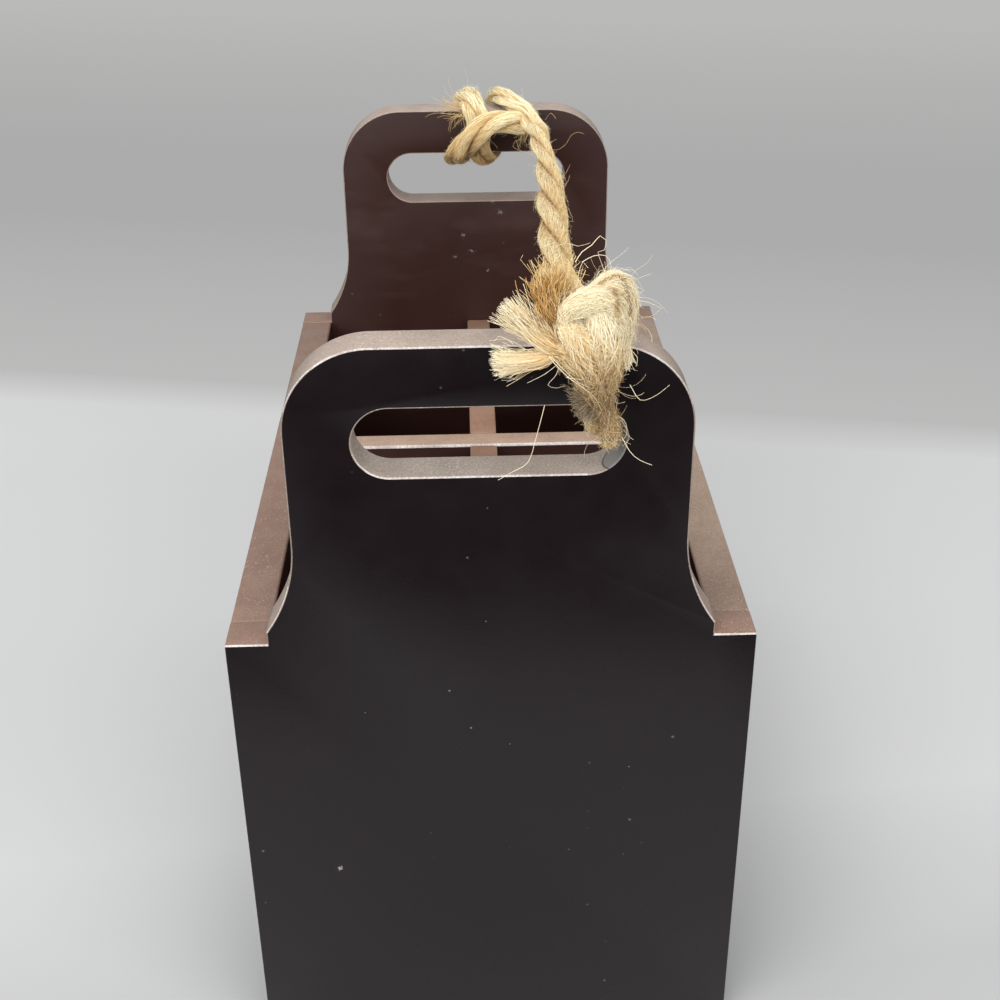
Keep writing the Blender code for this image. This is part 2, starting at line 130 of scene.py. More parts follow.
# %% [markdown]
# ## Small helpers for materials
#
# A material is a graph of nodes. Adding each node and link by hand takes many lines, so one helper
# makes a node, sets it and links it, and the others make the few kinds that come up often.

# %% Node helpers
def node(tree, kind, inputs=None, **settings):
    """A new shader node. inputs maps a socket to a value, or to another node's output."""
    made = tree.nodes.new("ShaderNode" + kind)
    for name, value in settings.items():
        setattr(made, name, value)
    for name, value in (inputs or {}).items():
        if isinstance(value, bpy.types.NodeSocket):
            tree.links.new(value, made.inputs[name])
        else:
            made.inputs[name].default_value = value
    return made


def new_finish(name, roughness, **constants):
    """A material with its node tree and Principled shader."""
    made = bpy.data.materials.new(name)
    made.use_nodes = True
    shader = made.node_tree.nodes["Principled BSDF"]
    shader.inputs["Roughness"].default_value = roughness
    for socket, value in constants.items():
        shader.inputs[socket.replace("_", " ")].default_value = value
    return made, made.node_tree, shader


def object_place(tree, scale=(1.0, 1.0, 1.0)):
    """Places on the piece itself, stretched by a Mapping node."""
    place = node(tree, "TexCoord").outputs["Object"]
    return node(tree, "Mapping", {"Vector": place, "Scale": scale}).outputs["Vector"]


def noise(tree, place, size, detail=2.0):
    """Smooth noise with features of that size in metres."""
    inputs = {"Vector": place, "Scale": 1.0 / size, "Detail": detail}
    return node(tree, "TexNoise", inputs).outputs["Fac"]


def cells(tree, place, per_metre):
    """Random cells: how far each place is from its cell's middle, and three random numbers."""
    made = node(tree, "TexVoronoi", {"Vector": place, "Scale": per_metre})
    chances = node(tree, "SeparateColor", {0: made.outputs["Color"]})
    return made.outputs["Distance"], chances.outputs


def ramp(tree, value, low, high, start=0.0, end=1.0):
    """Maps value from low..high to start..end, and stops at both."""
    return node(tree, "MapRange", {0: value, 1: low, 2: high, 3: start, 4: end}).outputs[0]


def mix(tree, share, first, second):
    """A colour between two, each a triple or another node's output."""
    first, second = ((*c, 1.0) if isinstance(c, tuple) else c for c in (first, second))
    return node(tree, "Mix", {0: share, 6: first, 7: second}, data_type="RGBA").outputs[2]


def calc(tree, operation, first, second=0.0):
    """One step of arithmetic."""
    return node(tree, "Math", {0: first, 1: second}, operation=operation).outputs[0]


def times(tree, first, second):
    return calc(tree, "MULTIPLY", first, second)


def axis_of(tree, vector, axis):
    """One of a vector's three numbers."""
    return node(tree, "SeparateXYZ", {0: vector}).outputs[axis]


def distance(tree, place, point):
    """How far each place is from a point."""
    inputs = {0: place, 1: point}
    return node(tree, "VectorMath", inputs, operation="DISTANCE").outputs["Value"]


def add_bump(tree, shader, height, strength, depth):
    """Relief of that depth in metres, which only the light sees."""
    bump = node(tree, "Bump", {"Height": height, "Strength": strength, "Distance": depth})
    tree.links.new(bump.outputs[0], shader.inputs["Normal"])


print("node helpers ready")

# %% [markdown]
# ## Floor and light
#
# The box stands on a pale sheet in front of a greyer ground. One large floor does for both: its
# colour goes from pale to grey over a few centimetres, so no horizon has a hard edge. It is part of
# the stage. The sheet's colour has painted light in it: it is paler towards the back and around the
# box, and a painted shade makes it darker towards the front.

# %% Floor
SHEET = (0.635, 0.640, 0.640)
# Painted light: the sheet is paler towards the back and in a patch around the box. Painted shade: it
# is darker towards the front.
LIT_FAR_SHEET = (0.740, 0.745, 0.745)
LIT_PATCH_SHEET = (0.760, 0.765, 0.765)
SHADE_FRONT_SHEET = (0.535, 0.540, 0.540)
BEYOND = (0.030, 0.030, 0.030)
GROUND_NEAR = (0.495, 0.495, 0.492)
GROUND_DIM = (0.408, 0.410, 0.408)
GROUND_FAR = (0.490, 0.488, 0.480)
FLOOR_HALF = 4.0
SHEET_BACK = 0.349           # Y of the sheet's far edge at X = 0
SHEET_SKEW = 0.19            # how much nearer that edge comes for each metre to the right
SHEET_FRONT = 0.37
SHEET_SIDE = 0.60

floor_form = bmesh.new()
bmesh.ops.create_grid(floor_form, x_segments=1, y_segments=1, size=FLOOR_HALF)
floor = placed("floor", mesh_from_form("floor", floor_form))

floor_paint, tree, shader = new_finish("floor_paint", 0.9, Specular_IOR_Level=0.1)
place = node(tree, "TexCoord").outputs["Object"]
x, y = (axis_of(tree, place, axis) for axis in "XY")
behind = calc(tree, "SUBTRACT", calc(tree, "ADD", y, times(tree, x, SHEET_SKEW)), SHEET_BACK)
before = calc(tree, "SUBTRACT", times(tree, y, -1.0), SHEET_FRONT)
beside = calc(tree, "SUBTRACT", calc(tree, "ABSOLUTE", x), SHEET_SIDE)
past = calc(tree, "MAXIMUM", calc(tree, "MAXIMUM", behind, before), beside)
# Painted light: past the sheet, the camera sees the ground as a glow in these colours instead of lit
# ground, dimmer in a band a little past the sheet's edge.
ground = mix(tree, ramp(tree, past, 0.03, 0.36), GROUND_NEAR, GROUND_DIM)
ground = mix(tree, ramp(tree, past, 0.55, 1.30), ground, GROUND_FAR)
# Painted light and shade, mixed into the sheet's colour.
lit_patch_away = distance(tree, place, (0.04, 0.12, 0.0))
front = calc(tree, "SUBTRACT", y, times(tree, x, 0.1))
sheet = mix(tree, ramp(tree, y, 0.08, 0.32), SHEET, LIT_FAR_SHEET)
sheet = mix(tree, ramp(tree, lit_patch_away, 0.12, 0.34), LIT_PATCH_SHEET, sheet)
sheet = mix(tree, ramp(tree, front, -0.12, -0.03), SHADE_FRONT_SHEET, sheet)
sheet = mix(tree, ramp(tree, past, 0.025, 0.085), sheet, BEYOND)
tree.links.new(sheet, shader.inputs["Base Color"])
seen = node(tree, "LightPath").outputs["Is Camera Ray"]
flat = node(tree, "Emission", {"Color": ground})
painted = times(tree, seen, ramp(tree, past, -0.025, 0.022))
surface = node(tree, "MixShader", {0: painted, 1: shader.outputs[0], 2: flat.outputs[0]})
tree.links.new(surface.outputs[0], tree.nodes["Material Output"].inputs["Surface"])
floor.data.materials.append(floor_paint)
print("floor", tuple(round(side, 2) for side in floor.dimensions))

# %% Light
# Square lamps: their place, the height over the middle that they look at, their size and watts.
LAMPS = {"lamp_overhead": ((-0.12, 0.02, 1.05), 0.10, 0.60, 1.9),
         "lamp_front_left": ((-0.80, -1.14, 0.95), 0.15, 1.20, 17.0),
         "lamp_front_right": ((0.80, -1.14, 0.95), 0.15, 1.20, 12.5)}
for name, (stand, aim, size, watts) in LAMPS.items():
    data = bpy.data.lights.new(name, "AREA")
    data.size = size
    data.energy = watts
    lamp = placed(name, data)
    lamp.location = stand
    heading = Vector((0.0, 0.0, aim)) - Vector(stand)
    lamp.rotation_euler = heading.to_track_quat("-Z", "Y").to_euler()

world = bpy.data.worlds.new("room")
world.use_nodes = True
room = world.node_tree.nodes["Background"]
room.inputs["Color"].default_value = (1.0, 1.0, 1.0, 1.0)
room.inputs["Strength"].default_value = 0.48
scene.world = world

# %% [markdown]
# ## The rope's route
#
# A rope is a fixed length of something flexible, so its middle line comes first. The listed
# points keep within a few millimetres of the imported model's, and were moved until they matched the
# photograph. A Catmull-Rom curve goes smoothly through every point it is given, which a Bezier
# curve would need handles for.

# %% Sizes
BOX_WIDTH = 0.150
BOX_LENGTH = 0.256
BODY_HEIGHT = 0.152          # floor to the tops of the sides
END_THICKNESS = 0.012
SIDE_THICKNESS = 0.012
DIVIDER_THICKNESS = 0.0095
FLOOR_THICKNESS = 0.0095
ARRIS = 0.0008               # rounding of the boards' edges
GAP = 0.0003                 # glue line
HANDLE_TOP = 0.241
HANDLE_CORNER = 0.024
FLARE_REACH = 0.009          # how far a flare's foot stands out from the handle's side
FLARE_TOP = 0.032
SHOULDER_STEP = 0.004
BAR_Y = 0.122                # the middle of each end panel
BAR_HEIGHT = 0.017           # wood over the hand slot
SLOT_HEIGHT = 0.020
SLOT_CHEEK = 0.018           # wood beside the hand slot
ROPE_DIAMETER = 0.0096
ROPE_RADIUS = ROPE_DIAMETER / 2
ROPE_SLACK = 0.0006          # air between rope and bar
ROPE_X = 0.0265              # the free rope's two ends
ROPE_Z = 0.237
REAR_REACH = 0.026           # from the middle of a bar to where the free rope begins
FRONT_REACH = 0.036
LOOP_POINTS = 24             # in one turn round a bar
HITCH_SPACING = 0.003
SPAN_SPACING = 0.004
print("box in m:", BOX_WIDTH, "x", BOX_LENGTH, "x", HANDLE_TOP)


# %% Route helpers
def smooth_route(points, spacing):
    """Points about one spacing apart on a smooth curve through the given ones."""
    points = [Vector(point) for point in points]
    ends = [2 * points[0] - points[1]] + points + [2 * points[-1] - points[-2]]
    route = []
    for before, start, end, after in zip(ends, ends[1:], ends[2:], ends[3:]):
        steps = max(1, round((end - start).length / spacing))
        for step in range(steps):
            t = step / steps
            route.append(0.5 * (2 * start + (end - before) * t
                                + (2 * before - 5 * start + 4 * end - after) * t ** 2
                                + (3 * start - before - 3 * end + after) * t ** 3))
    return route + [points[-1]]


def bar_section(step):
    """Outward of the bar's middle and up, at one step of a turn: top, outside, below, inside.

    Each quarter has two steps on the flat and four round the corner, 30 degrees apart.
    """
    reach = ROPE_RADIUS + ROPE_SLACK + ARRIS
    half_y = END_THICKNESS / 2 - ARRIS
    half_z = BAR_HEIGHT / 2 - ARRIS
    corners = ((half_y, half_z, 90), (half_y, -half_z, 0), (-half_y, -half_z, -90),
               (-half_y, half_z, -180))
    side, place = divmod(step % LOOP_POINTS, 6)
    out, up, turn = corners[side]
    angle = math.radians(turn - 30 * max(0, place - 2))
    if place < 2:
        last_out, last_up, _ = corners[side - 1]
        share = (place + 1) / 3
        out, up = last_out + (out - last_out) * share, last_up + (up - last_up) * share
    return out + reach * math.cos(angle), up + reach * math.sin(angle)


def wound_run(places):
    """Points round the bar. places pairs loops made with X there, in mm."""
    run = []
    for step in range(round(places[-1][0] * LOOP_POINTS) + 1):
        x = np.interp(step / LOOP_POINTS, *zip(*places))
        run.append((x / 1000, *bar_section(step)))
    return run


def from_bar_top(points):
    """Points in mm: X off the free rope's line, outward of the bar's middle, up from its top."""
    return [(x / 1000, out / 1000, up / 1000 + BAR_HEIGHT / 2) for x, out, up in points]


def hitch_route(reach, aside, rise, turns, leave, sign):
    """From where the free rope ends to the rope's own end, in the box's axes.

    rise leads up to the bar, turns go round it and leave leads off it. sign is 1 at the rear.
    """
    up = HANDLE_TOP - BAR_HEIGHT / 2
    start = [(aside / 1000, -reach, ROPE_Z - up),
             (aside * 1.5 / 1000, -reach + ROPE_DIAMETER / 2, ROPE_Z - up)]
    wound = wound_run(turns)
    points = smooth_route(start + from_bar_top(rise) + wound[:1], HITCH_SPACING)[:-1]
    points += [Vector(p) for p in wound]
    points += smooth_route(wound[-1:] + from_bar_top(leave), HITCH_SPACING)[1:]
    return [Vector((ROPE_X + x, sign * (BAR_Y + out), up + z)) for x, out, z in points]


def path_length(route):
    """How long the line through the points is."""
    return sum((b - a).length for a, b in zip(route, route[1:]))


print("route helpers ready")

# %% The rope's middle line
rear_route = hitch_route(
    REAR_REACH, -2.2,
    [(-4.6, -18.6, -2.2), (-6.6, -14.2, 0.2), (-8.8, -11.2, 2.2), (-11.0, -8.4, 4.0),
     (-12.8, -5.2, 5.0)],
    [(0.0, -14.0), (0.5, -21.5), (0.8, -25.5), (1.0, -28.5), (1.6, -34.3)],
    [(-34.0, -14.0, -18.0), (-31.0, -17.5, -12.0), (-26.5, -19.0, -7.0), (-20.5, -18.6, -3.0),
     (-13.5, -17.4, -2.0), (-7.0, -15.4, -4.5)],
    1)
front_route = hitch_route(
    FRONT_REACH, -2.4,
    [(-3.6, -20.0, -3.6), (-5.0, -14.5, -0.6), (-5.8, -10.4, 3.4), (-6.0, -6.0, 5.4)],
    [(0.0, -5.2), (0.2, -2.2), (0.35, 1.4), (0.55, 4.6), (0.67, 5.0)],
    [(5.8, -12.0, -10.4), (6.6, -12.6, -3.0), (6.6, -10.8, 3.4), (6.4, -5.4, 6.6), (6.2, 1.0, 7.6),
     (6.0, 7.2, 7.0), (5.6, 13.2, 5.6), (4.2, 18.4, 4.0), (1.5, 21.4, 2.6), (-7.9, 22.8, 1.6)],
    -1)
span_rear = BAR_Y - REAR_REACH
span_front = -BAR_Y + FRONT_REACH
# Share of the way from rear to front, then aside and down in mm.
hang = [(0.0, -2.2, 0.0), (0.053, -2.1, 0.3), (0.195, -1.0, 2.6), (0.338, -0.9, 4.5),
        (0.515, -2.1, 5.0), (0.713, -3.4, 4.0), (0.857, -4.6, 1.7), (0.947, -3.8, 0.2),
        (1.0, -2.4, 0.0)]
span_route = smooth_route(
    [(ROPE_X + aside / 1000, span_rear + (span_front - span_rear) * share, ROPE_Z - down / 1000)
     for share, aside, down in hang], SPAN_SPACING)
span_length = path_length(span_route)
print("rope in mm:", [round(path_length(r) * 1000) for r in (rear_route, span_route, front_route)])

# %% [markdown]
# ## Strands and fibres
#
# Jute rope is laid: fibres are twisted one way into strands, and three strands the other way into
# rope. A texture of stripes could fake it from far off, but the hitch fills a good part of the
# picture, so the strands are real tubes and the fibres are real threads, each only three sides
# round.

# %% Running along a path
THREAD_STEPS = 8             # points along a thread
CURL_STEPS = 12              # points along a curly fibre


def reach_along(points):
    """The length of a path up to each of its points."""
    return np.concatenate(([0.0], np.cumsum(np.linalg.norm(np.diff(points, axis=0), axis=1))))


def unit(rows):
    """Each row made 1 long."""
    return rows / np.linalg.norm(rows, axis=1)[:, None]


def measured(points, spacing=0.0008):
    """The path as an array with a point at every spacing, and the length up to each point."""
    points = np.array([tuple(p) for p in points])
    reach = reach_along(points)
    along = np.linspace(0.0, reach[-1], max(2, round(reach[-1] / spacing) + 1))
    return np.stack([np.interp(along, reach, points[:, k]) for k in range(3)], axis=1), along


def sides_of(path, first=(0.0, 0.0, 1.0)):
    """Two directions across the path at each point, turned as little as possible on the way."""
    heading = unit(np.gradient(path, axis=0))
    side = np.array(first)
    sides = []
    for direction in heading:
        side = side - direction * side.dot(direction)
        side /= np.linalg.norm(side)
        sides.append(side)
    sides = np.array(sides)
    return sides, np.cross(heading, sides)


def strand_line(path, turned, phase, offset):
    """One strand's middle line, turning left-handed about the rope's."""
    side, up = sides_of(path)
    angle = (phase - turned)[:, None]
    return path + offset[:, None] * (side * np.cos(angle) + up * np.sin(angle))


def threads_on(path, wide, thick, count, reach, twist, lift, rng, wild=0.0, curl=0.0, kink=0.0,
               first=(0.0, 0.0, 1.0)):
    """Threads that lie on a strand, and how far along and round it each of their points is.

    lift is how far the loose ends stand off, wild how much their slants differ, curl how far they
    bend, and kink how crooked they are. The ends of the bundle are ragged by 2 mm.
    """
    along = reach_along(path)
    side, up = sides_of(path, first)
    share = np.linspace(0.0, 1.0, THREAD_STEPS)[None, :]
    length = reach * rng.uniform(0.6, 1.4, (count, 1))
    start = rng.uniform(-length, along[-1], (count, 1))
    ragged = rng.uniform(0.0, 0.002, (count, 1))
    begin = np.clip(start, ragged, along[-1] - 0.005)
    end = np.maximum(np.minimum(start + length, along[-1] - ragged), begin + 0.003)
    place = begin + share * (end - begin)
    wander = rng.normal(0.0, 0.12, (count, 1)) * np.sin(share * rng.uniform(3.0, 9.0, (count, 1)))
    slant = rng.normal(0.0, wild, (count, 1)) * (place - begin)
    angle = rng.uniform(0.0, 2 * math.pi, (count, 1)) + twist * place + slant + wander
    loose = 1.0 + rng.exponential(lift, (count, 1)) * share ** 2 + rng.normal(0.0, 0.03, (count, 1))

    def at(values):
        return np.interp(place, along, values)

    def bend():
        waves = share * rng.uniform(2.0, 8.0, (count, 1)) + rng.uniform(0.0, 6.3, (count, 1))
        return curl * share * np.sin(waves) + rng.normal(0.0, kink, (count, THREAD_STEPS))

    across = np.cos(angle) * (at(wide) * loose + curl * share) + bend()
    out = np.sin(angle) * (at(thick) * loose + curl * share) + bend()
    lines = np.stack([at(path[:, k]) + at(side[:, k]) * across + at(up[:, k]) * out
                      for k in range(3)], axis=2)
    return lines, place / along[-1], angle


def curly(starts, headings, reach, turn, rng):
    """Fibres that leave each start along its heading and curl at random."""
    heading = unit(headings)
    axis = rng.normal(0.0, 1.0, heading.shape)
    stride = reach * rng.uniform(0.4, 1.4, (len(starts), 1)) / CURL_STEPS
    points = [starts]
    for _ in range(CURL_STEPS - 1):
        axis = unit(axis + rng.normal(0.0, 0.5, axis.shape))
        heading = unit(heading + turn * np.cross(axis, heading))
        points.append(points[-1] + heading * stride)
    return np.stack(points, axis=1)


def nearest_on(points, path):
    """The index of the place on the path nearest to each point, and how far it is."""
    away = np.linalg.norm(points.reshape(-1, 1, 3) - path[None, ::2], axis=2)
    shape = points.shape[:-1]
    return away.argmin(axis=1).reshape(shape) * 2, away.min(axis=1).reshape(shape)


def curls_off(lines, path, count, reach, rng):
    """Curly fibres that spring from places on the threads, away from the path."""
    starts = lines[rng.integers(0, len(lines), count), THREAD_STEPS // 2]
    away = starts - path[nearest_on(starts, path)[0]]
    return curly(starts, away + rng.normal(0.0, 0.0015, starts.shape), reach, 0.2, rng)


print("thread helpers ready")

# %% From lines to meshes
def section_curve(name, corners):
    """The outline that a thread or strand is swept with, 1 m in radius."""
    curve = bpy.data.curves.new(name, "CURVE")
    curve.dimensions = "2D"
    angles = [2 * math.pi * index / corners for index in range(corners)]
    add_line(curve, [(math.cos(angle), math.sin(angle)) for angle in angles], True)
    return bpy.data.objects.new(name, curve)


thread_section = section_curve("thread_section", 3)
strand_section = section_curve("strand_section", 12)


def set_tone(mesh, tone):
    """Stores a tone at each point of the mesh, for its material to read."""
    layer = mesh.attributes.new("tone", "FLOAT", "POINT")
    layer.data.foreach_set("value", tone.astype(np.float32))


def swept_mesh(name, lines, radii, tones, section=thread_section, capped=False):
    """One mesh of every line swept with a section. tones are for lines or for their points."""
    curve = bpy.data.curves.new(name, "CURVE")
    curve.dimensions = "3D"
    curve.bevel_mode = "OBJECT"
    curve.bevel_object = section
    curve.use_fill_caps = capped
    for line, radius in zip(lines, radii):
        radius = np.broadcast_to(radius, len(line)).astype(float)
        add_line(curve, line).points.foreach_set("radius", radius)
    mesh = mesh_from_curve(curve)
    corners = len(section.data.splines[0].points)
    if np.ndim(tones) == 2:
        set_tone(mesh, np.repeat(np.ravel(tones), corners))
    else:
        rings = np.array([len(line) + 2 * capped for line in lines])
        set_tone(mesh, np.repeat(tones, rings * corners))
    if corners > 3:
        mesh.shade_smooth()
    else:
        mesh.shade_flat()
    return mesh


def thread_radii(count, thin, thick, rng):
    """Threads taper to about half at their free end."""
    share = np.linspace(0.0, 1.0, THREAD_STEPS)[None, :]
    return rng.uniform(thin, thick, (count, 1)) * (1.0 - 0.55 * share ** 4)


def joined_piece(name, meshes, materials):
    """One piece from several meshes, each with its own material."""
    form = bmesh.new()
    form.verts.layers.float.new("tone")
    for index, part in enumerate(meshes):
        before = len(form.faces)
        form.from_mesh(part)
        form.faces.ensure_lookup_table()
        for face in form.faces[before:]:
            face.material_index = index
    piece = placed(name, mesh_from_form(name, form))
    for material in materials:
        piece.data.materials.append(material)
    return piece


print("sections:", thread_section.name, strand_section.name)

# %% [markdown]
# ## Jute
#
# Dry jute is straw-coloured, and every thread differs a little. The tone that each thread carries
# picks its colour, and a fine noise breaks it up along the thread. A little sheen stands for the
# fuzz that is too fine to model.

# %% Jute finishes
def jute_finish(name, dark, middle, pale, sheen=0.08):
    made, tree, shader = new_finish(name, 0.6, Sheen_Weight=sheen, Sheen_Roughness=0.6,
                                    Specular_IOR_Level=0.35)
    tone = node(tree, "Attribute", attribute_name="tone", attribute_type="GEOMETRY").outputs["Fac"]
    place = object_place(tree)
    speck = noise(tree, place, 0.0016, 3.0)
    colour = mix(tree, ramp(tree, tone, 0.0, 0.5), dark, middle)
    colour = mix(tree, ramp(tree, tone, 0.5, 1.0), colour, pale)
    colour = mix(tree, ramp(tree, speck, 0.58, 0.8, 0.0, 0.30), colour, dark)
    tree.links.new(colour, shader.inputs["Base Color"])
    add_bump(tree, shader, noise(tree, place, 0.0005), 0.12, 0.0001)
    return made


BROWN = (0.36, 0.20, 0.07)
jute = jute_finish("laid_jute", BROWN, (0.86, 0.64, 0.32), (1.00, 0.93, 0.64))
# The strand cores are darker than the threads: painted shade in the gaps between the threads.
shaded_core_jute = jute_finish("shaded_strand_core", BROWN, (0.62, 0.42, 0.18), (0.80, 0.62, 0.34))
jute_pale = jute_finish("unlaid_jute", (0.26, 0.145, 0.06), (0.84, 0.60, 0.28), (1.00, 0.92, 0.68),
                        0.20)
jute_tan = jute_finish("tanned_jute", (0.36, 0.17, 0.04), (0.68, 0.41, 0.13), (1.00, 0.82, 0.46))
# A darker, greyer jute for a short tuft under the front loop and a small rear brush.
jute_grey = jute_finish("darker_grey_jute", (0.14, 0.10, 0.055), (0.38, 0.295, 0.185),
                        (0.66, 0.55, 0.37))
print("jute finishes:", jute.name, jute_pale.name, jute_tan.name, jute_grey.name)

# %% [markdown]
# ## The laid rope
#
# The three strands run through the whole rope without a break, so they are worked out once, along
# the line from the rear end to the front end, and then shared out between the two hitches and the
# free rope.

# %% Strands
STRAND_OFFSET = 0.0027       # from the rope's middle to a strand's
STRAND_RADIUS = 0.0026
FIBRE_TWIST = 2 * math.pi / 0.090
COME_UNDONE = 0.027          # length of the front end that isn't laid any more

rope_path, rope_along = measured(rear_route[::-1] + span_route[1:] + front_route[1:])
rear_end, rear_cut = 0.0, path_length(rear_route)
front_cut, front_end = rear_cut + span_length, rope_along[-1] - COME_UNDONE
lay = np.interp(rope_along, [rear_cut - 0.03, rear_cut, (rear_cut + front_cut) / 2, front_cut],
                [0.055, 0.070, 0.110, 0.160])
girth = np.interp((rope_along - rear_cut) * 1000, [-35, -12, 5, 27, 36, 58, 75, 193, 210, 235],
                  [0.92, 0.82, 0.74, 0.66, 0.72, 0.88, 0.95, 0.94, 0.76, 0.70])
# Tones along the rope: paler at the rear knot, partly a painted highlight, and darker towards the
# front end.
tone_along_rope = np.interp(rope_along, [rear_cut - 0.006, rear_cut + 0.014, front_cut - 0.010,
                                front_cut + 0.010], [0.88, 0.53, 0.53, 0.45])
turned = np.cumsum(2 * math.pi / lay) * (rope_along[1] - rope_along[0])
strands = [strand_line(rope_path, turned, 2 * math.pi * k / 3, STRAND_OFFSET * girth)
           for k in range(3)]
print("points along the rope:", len(rope_path))

# %% Laid rope
THREADS_PER_METRE = 7500     # on each strand
STRAYS_PER_METRE = 260
OVERLAP = 0.0015             # of the threads past the strands, so no ring shows between two pieces
FUZZ_RADII = (0.00003, 0.00005)
STRAY_RADIUS = 0.00004


def pressed(mesh):
    """Squeezes the rear turns flat where they bear on the bar."""
    points = np.empty(len(mesh.vertices) * 3)
    mesh.vertices.foreach_get("co", points)
    x, y, z = points.reshape(-1, 3).T
    out = y - BAR_Y
    up = z - (HANDLE_TOP - BAR_HEIGHT / 2)
    off_out = out - np.clip(out, -END_THICKNESS / 2, END_THICKNESS / 2)
    off_up = up - np.clip(up, -BAR_HEIGHT / 2, BAR_HEIGHT / 2)
    kept = np.interp(np.hypot(off_out, off_up), [0.0, 0.011, 0.020], [0.62, 0.66, 1.0])
    kept = kept - 0.14 * (off_up < 0.0)
    kept = 1.0 + (kept - 1.0) * np.interp(x, [ROPE_X - 0.008, ROPE_X - 0.002], [1.0, 0.0])
    squeezed = np.stack([x, y - off_out * (1.0 - kept), z - off_up * (1.0 - kept)], axis=1)
    mesh.vertices.foreach_set("co", squeezed.ravel())
    mesh.update()


def laid_piece(name, begin, end, seed, low_shade=0.0):
    """The rope between two lengths along it, as a piece of strands and threads and one of fuzz.

    The last argument paints shade: how much darker it is where it hangs lowest, under the bar.
    """
    rng = np.random.default_rng(seed)
    inside = (rope_along >= begin - 1e-6) & (rope_along <= end + 1e-6)
    around = (rope_along >= begin - OVERLAP) & (rope_along <= end + OVERLAP)
    path = rope_path[around]
    size = STRAND_RADIUS * girth[around]
    count = round(THREADS_PER_METRE * (end - begin))

    def spun(count, reach, lift, **looseness):
        return np.concatenate([threads_on(line[around], size, size, count, reach, FIBRE_TWIST, lift,
                                          rng, **looseness)[0] for line in strands])

    laid = spun(count, 0.012, 0.03, wild=30.0, kink=0.00005)
    loose = spun(count // 3, 0.008, 0.16, wild=200.0, curl=0.0006, kink=0.00012)
    strays = curls_off(laid, path, round(STRAYS_PER_METRE * (end - begin)), 0.006, rng)
    core = swept_mesh(name + "_core", [line[inside][::2] for line in strands],
                      [STRAND_RADIUS * girth[inside][::2] * 0.97] * 3, [0.5] * 3, strand_section,
                      True)
    pieces = []
    for label, lines, radii in (("", laid, (0.00008, 0.00016)), ("_fuzz", loose, FUZZ_RADII)):
        index, away = nearest_on(lines, path)
        depth = away / ((STRAND_OFFSET + STRAND_RADIUS) * girth[around][index])
        shown = depth.mean(axis=1) > 0.5
        lines, depth = lines[shown], depth[shown]
        # Painted shade and light: threads that lie deep between the strands are darker, and those on
        # top paler.
        thread_tone = np.interp(depth, [0.5, 0.75, 1.0], [-0.5, -0.05, 0.2])
        thread_tone = tone_along_rope[around][index[shown]] + thread_tone
        # Painted shade where the rope hangs low under the bar.
        thread_tone -= low_shade * np.interp(lines[:, :, 2], [0.224, 0.244], [1.0, 0.0])
        tones = np.clip(thread_tone + rng.normal(0.0, 0.14, (len(lines), 1)), 0.0, 1.0)
        threads = swept_mesh(name + label + "_threads", lines,
                             thread_radii(len(lines), *radii, rng), tones)
        if label:
            meshes = [threads, swept_mesh(name + "_strays", strays, [STRAY_RADIUS] * len(strays),
                                          [0.6] * len(strays))]
        else:
            meshes = [core, threads]
        if name == "rear_rope_knot":
            for mesh in meshes:
                pressed(mesh)
        piece = joined_piece(name + label, meshes, [jute if label else shaded_core_jute, jute])
        print_triangles(piece)
        pieces.append(piece)
    return pieces


rear_rope, rear_fuzz = laid_piece("rear_rope_knot", rear_end, rear_cut, 3, low_shade=0.75)
free_rope, free_fuzz = laid_piece("free_rope", rear_cut, front_cut, 5)
front_rope, front_fuzz = laid_piece("front_rope_knot", front_cut, front_end, 7)
for piece in (rear_rope, rear_fuzz):
    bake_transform(piece)
for piece in (front_rope, front_fuzz):
    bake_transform(piece)
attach(free_rope, "rope")
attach(free_fuzz, "rope")
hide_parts("rear_rope_hitch")
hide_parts("front_rope_hitch")
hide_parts("rope_span")

# %% [markdown]
# ## The unlaid loop at the front
#
# At the front the old rope has come undone over the bar. Its three strands have opened into flat
# hanks, so each gets its own path, its own width and thickness, and threads that run along it with
# hardly any twist.

# %% Hanks
FACING = (0.9, -0.2, -0.4)                      # across a hank, on its wide side
OUTWARD = np.array([-0.10, -0.93, 0.355])       # away from the panel that the loop lies on
HANK_TWIST = 10.0
RING_CORNERS = 12


def millimetres(points):
    """Points in mm, with height over the tops of the sides, as places in the box."""
    return [Vector((x, y, z)) / 1000 + Vector((0.0, 0.0, BODY_HEIGHT)) for x, y, z in points]


def flattened(points):
    """Points pressed into the plane that the loop lies in."""
    return points - (points @ OUTWARD)[..., None] * OUTWARD


# The grooves between hanks, where the threads are painted darker as shade.
GROOVES = [[(26.9, -139, 109.0), (28.9, -138.5, 110.2), (30.7, -138, 110.8), (32.4, -137.5, 109.7),
            (33.7, -137, 107.0), (34.5, -137, 103.6), (34.8, -137.2, 100.3)],
           [(29.5, -140, 108.2), (31.0, -140, 106.3), (31.4, -140, 103.7), (31.1, -140, 101.8)]]
groove_path = np.concatenate([
    flattened(measured(smooth_route(millimetres(points), 0.0005), 0.0001)[0])
    for points in GROOVES])


def evenly(values, share):
    """Values spread evenly from root to end, read at each share of the way."""
    return np.interp(share, np.linspace(0.0, 1.0, len(values)), values)


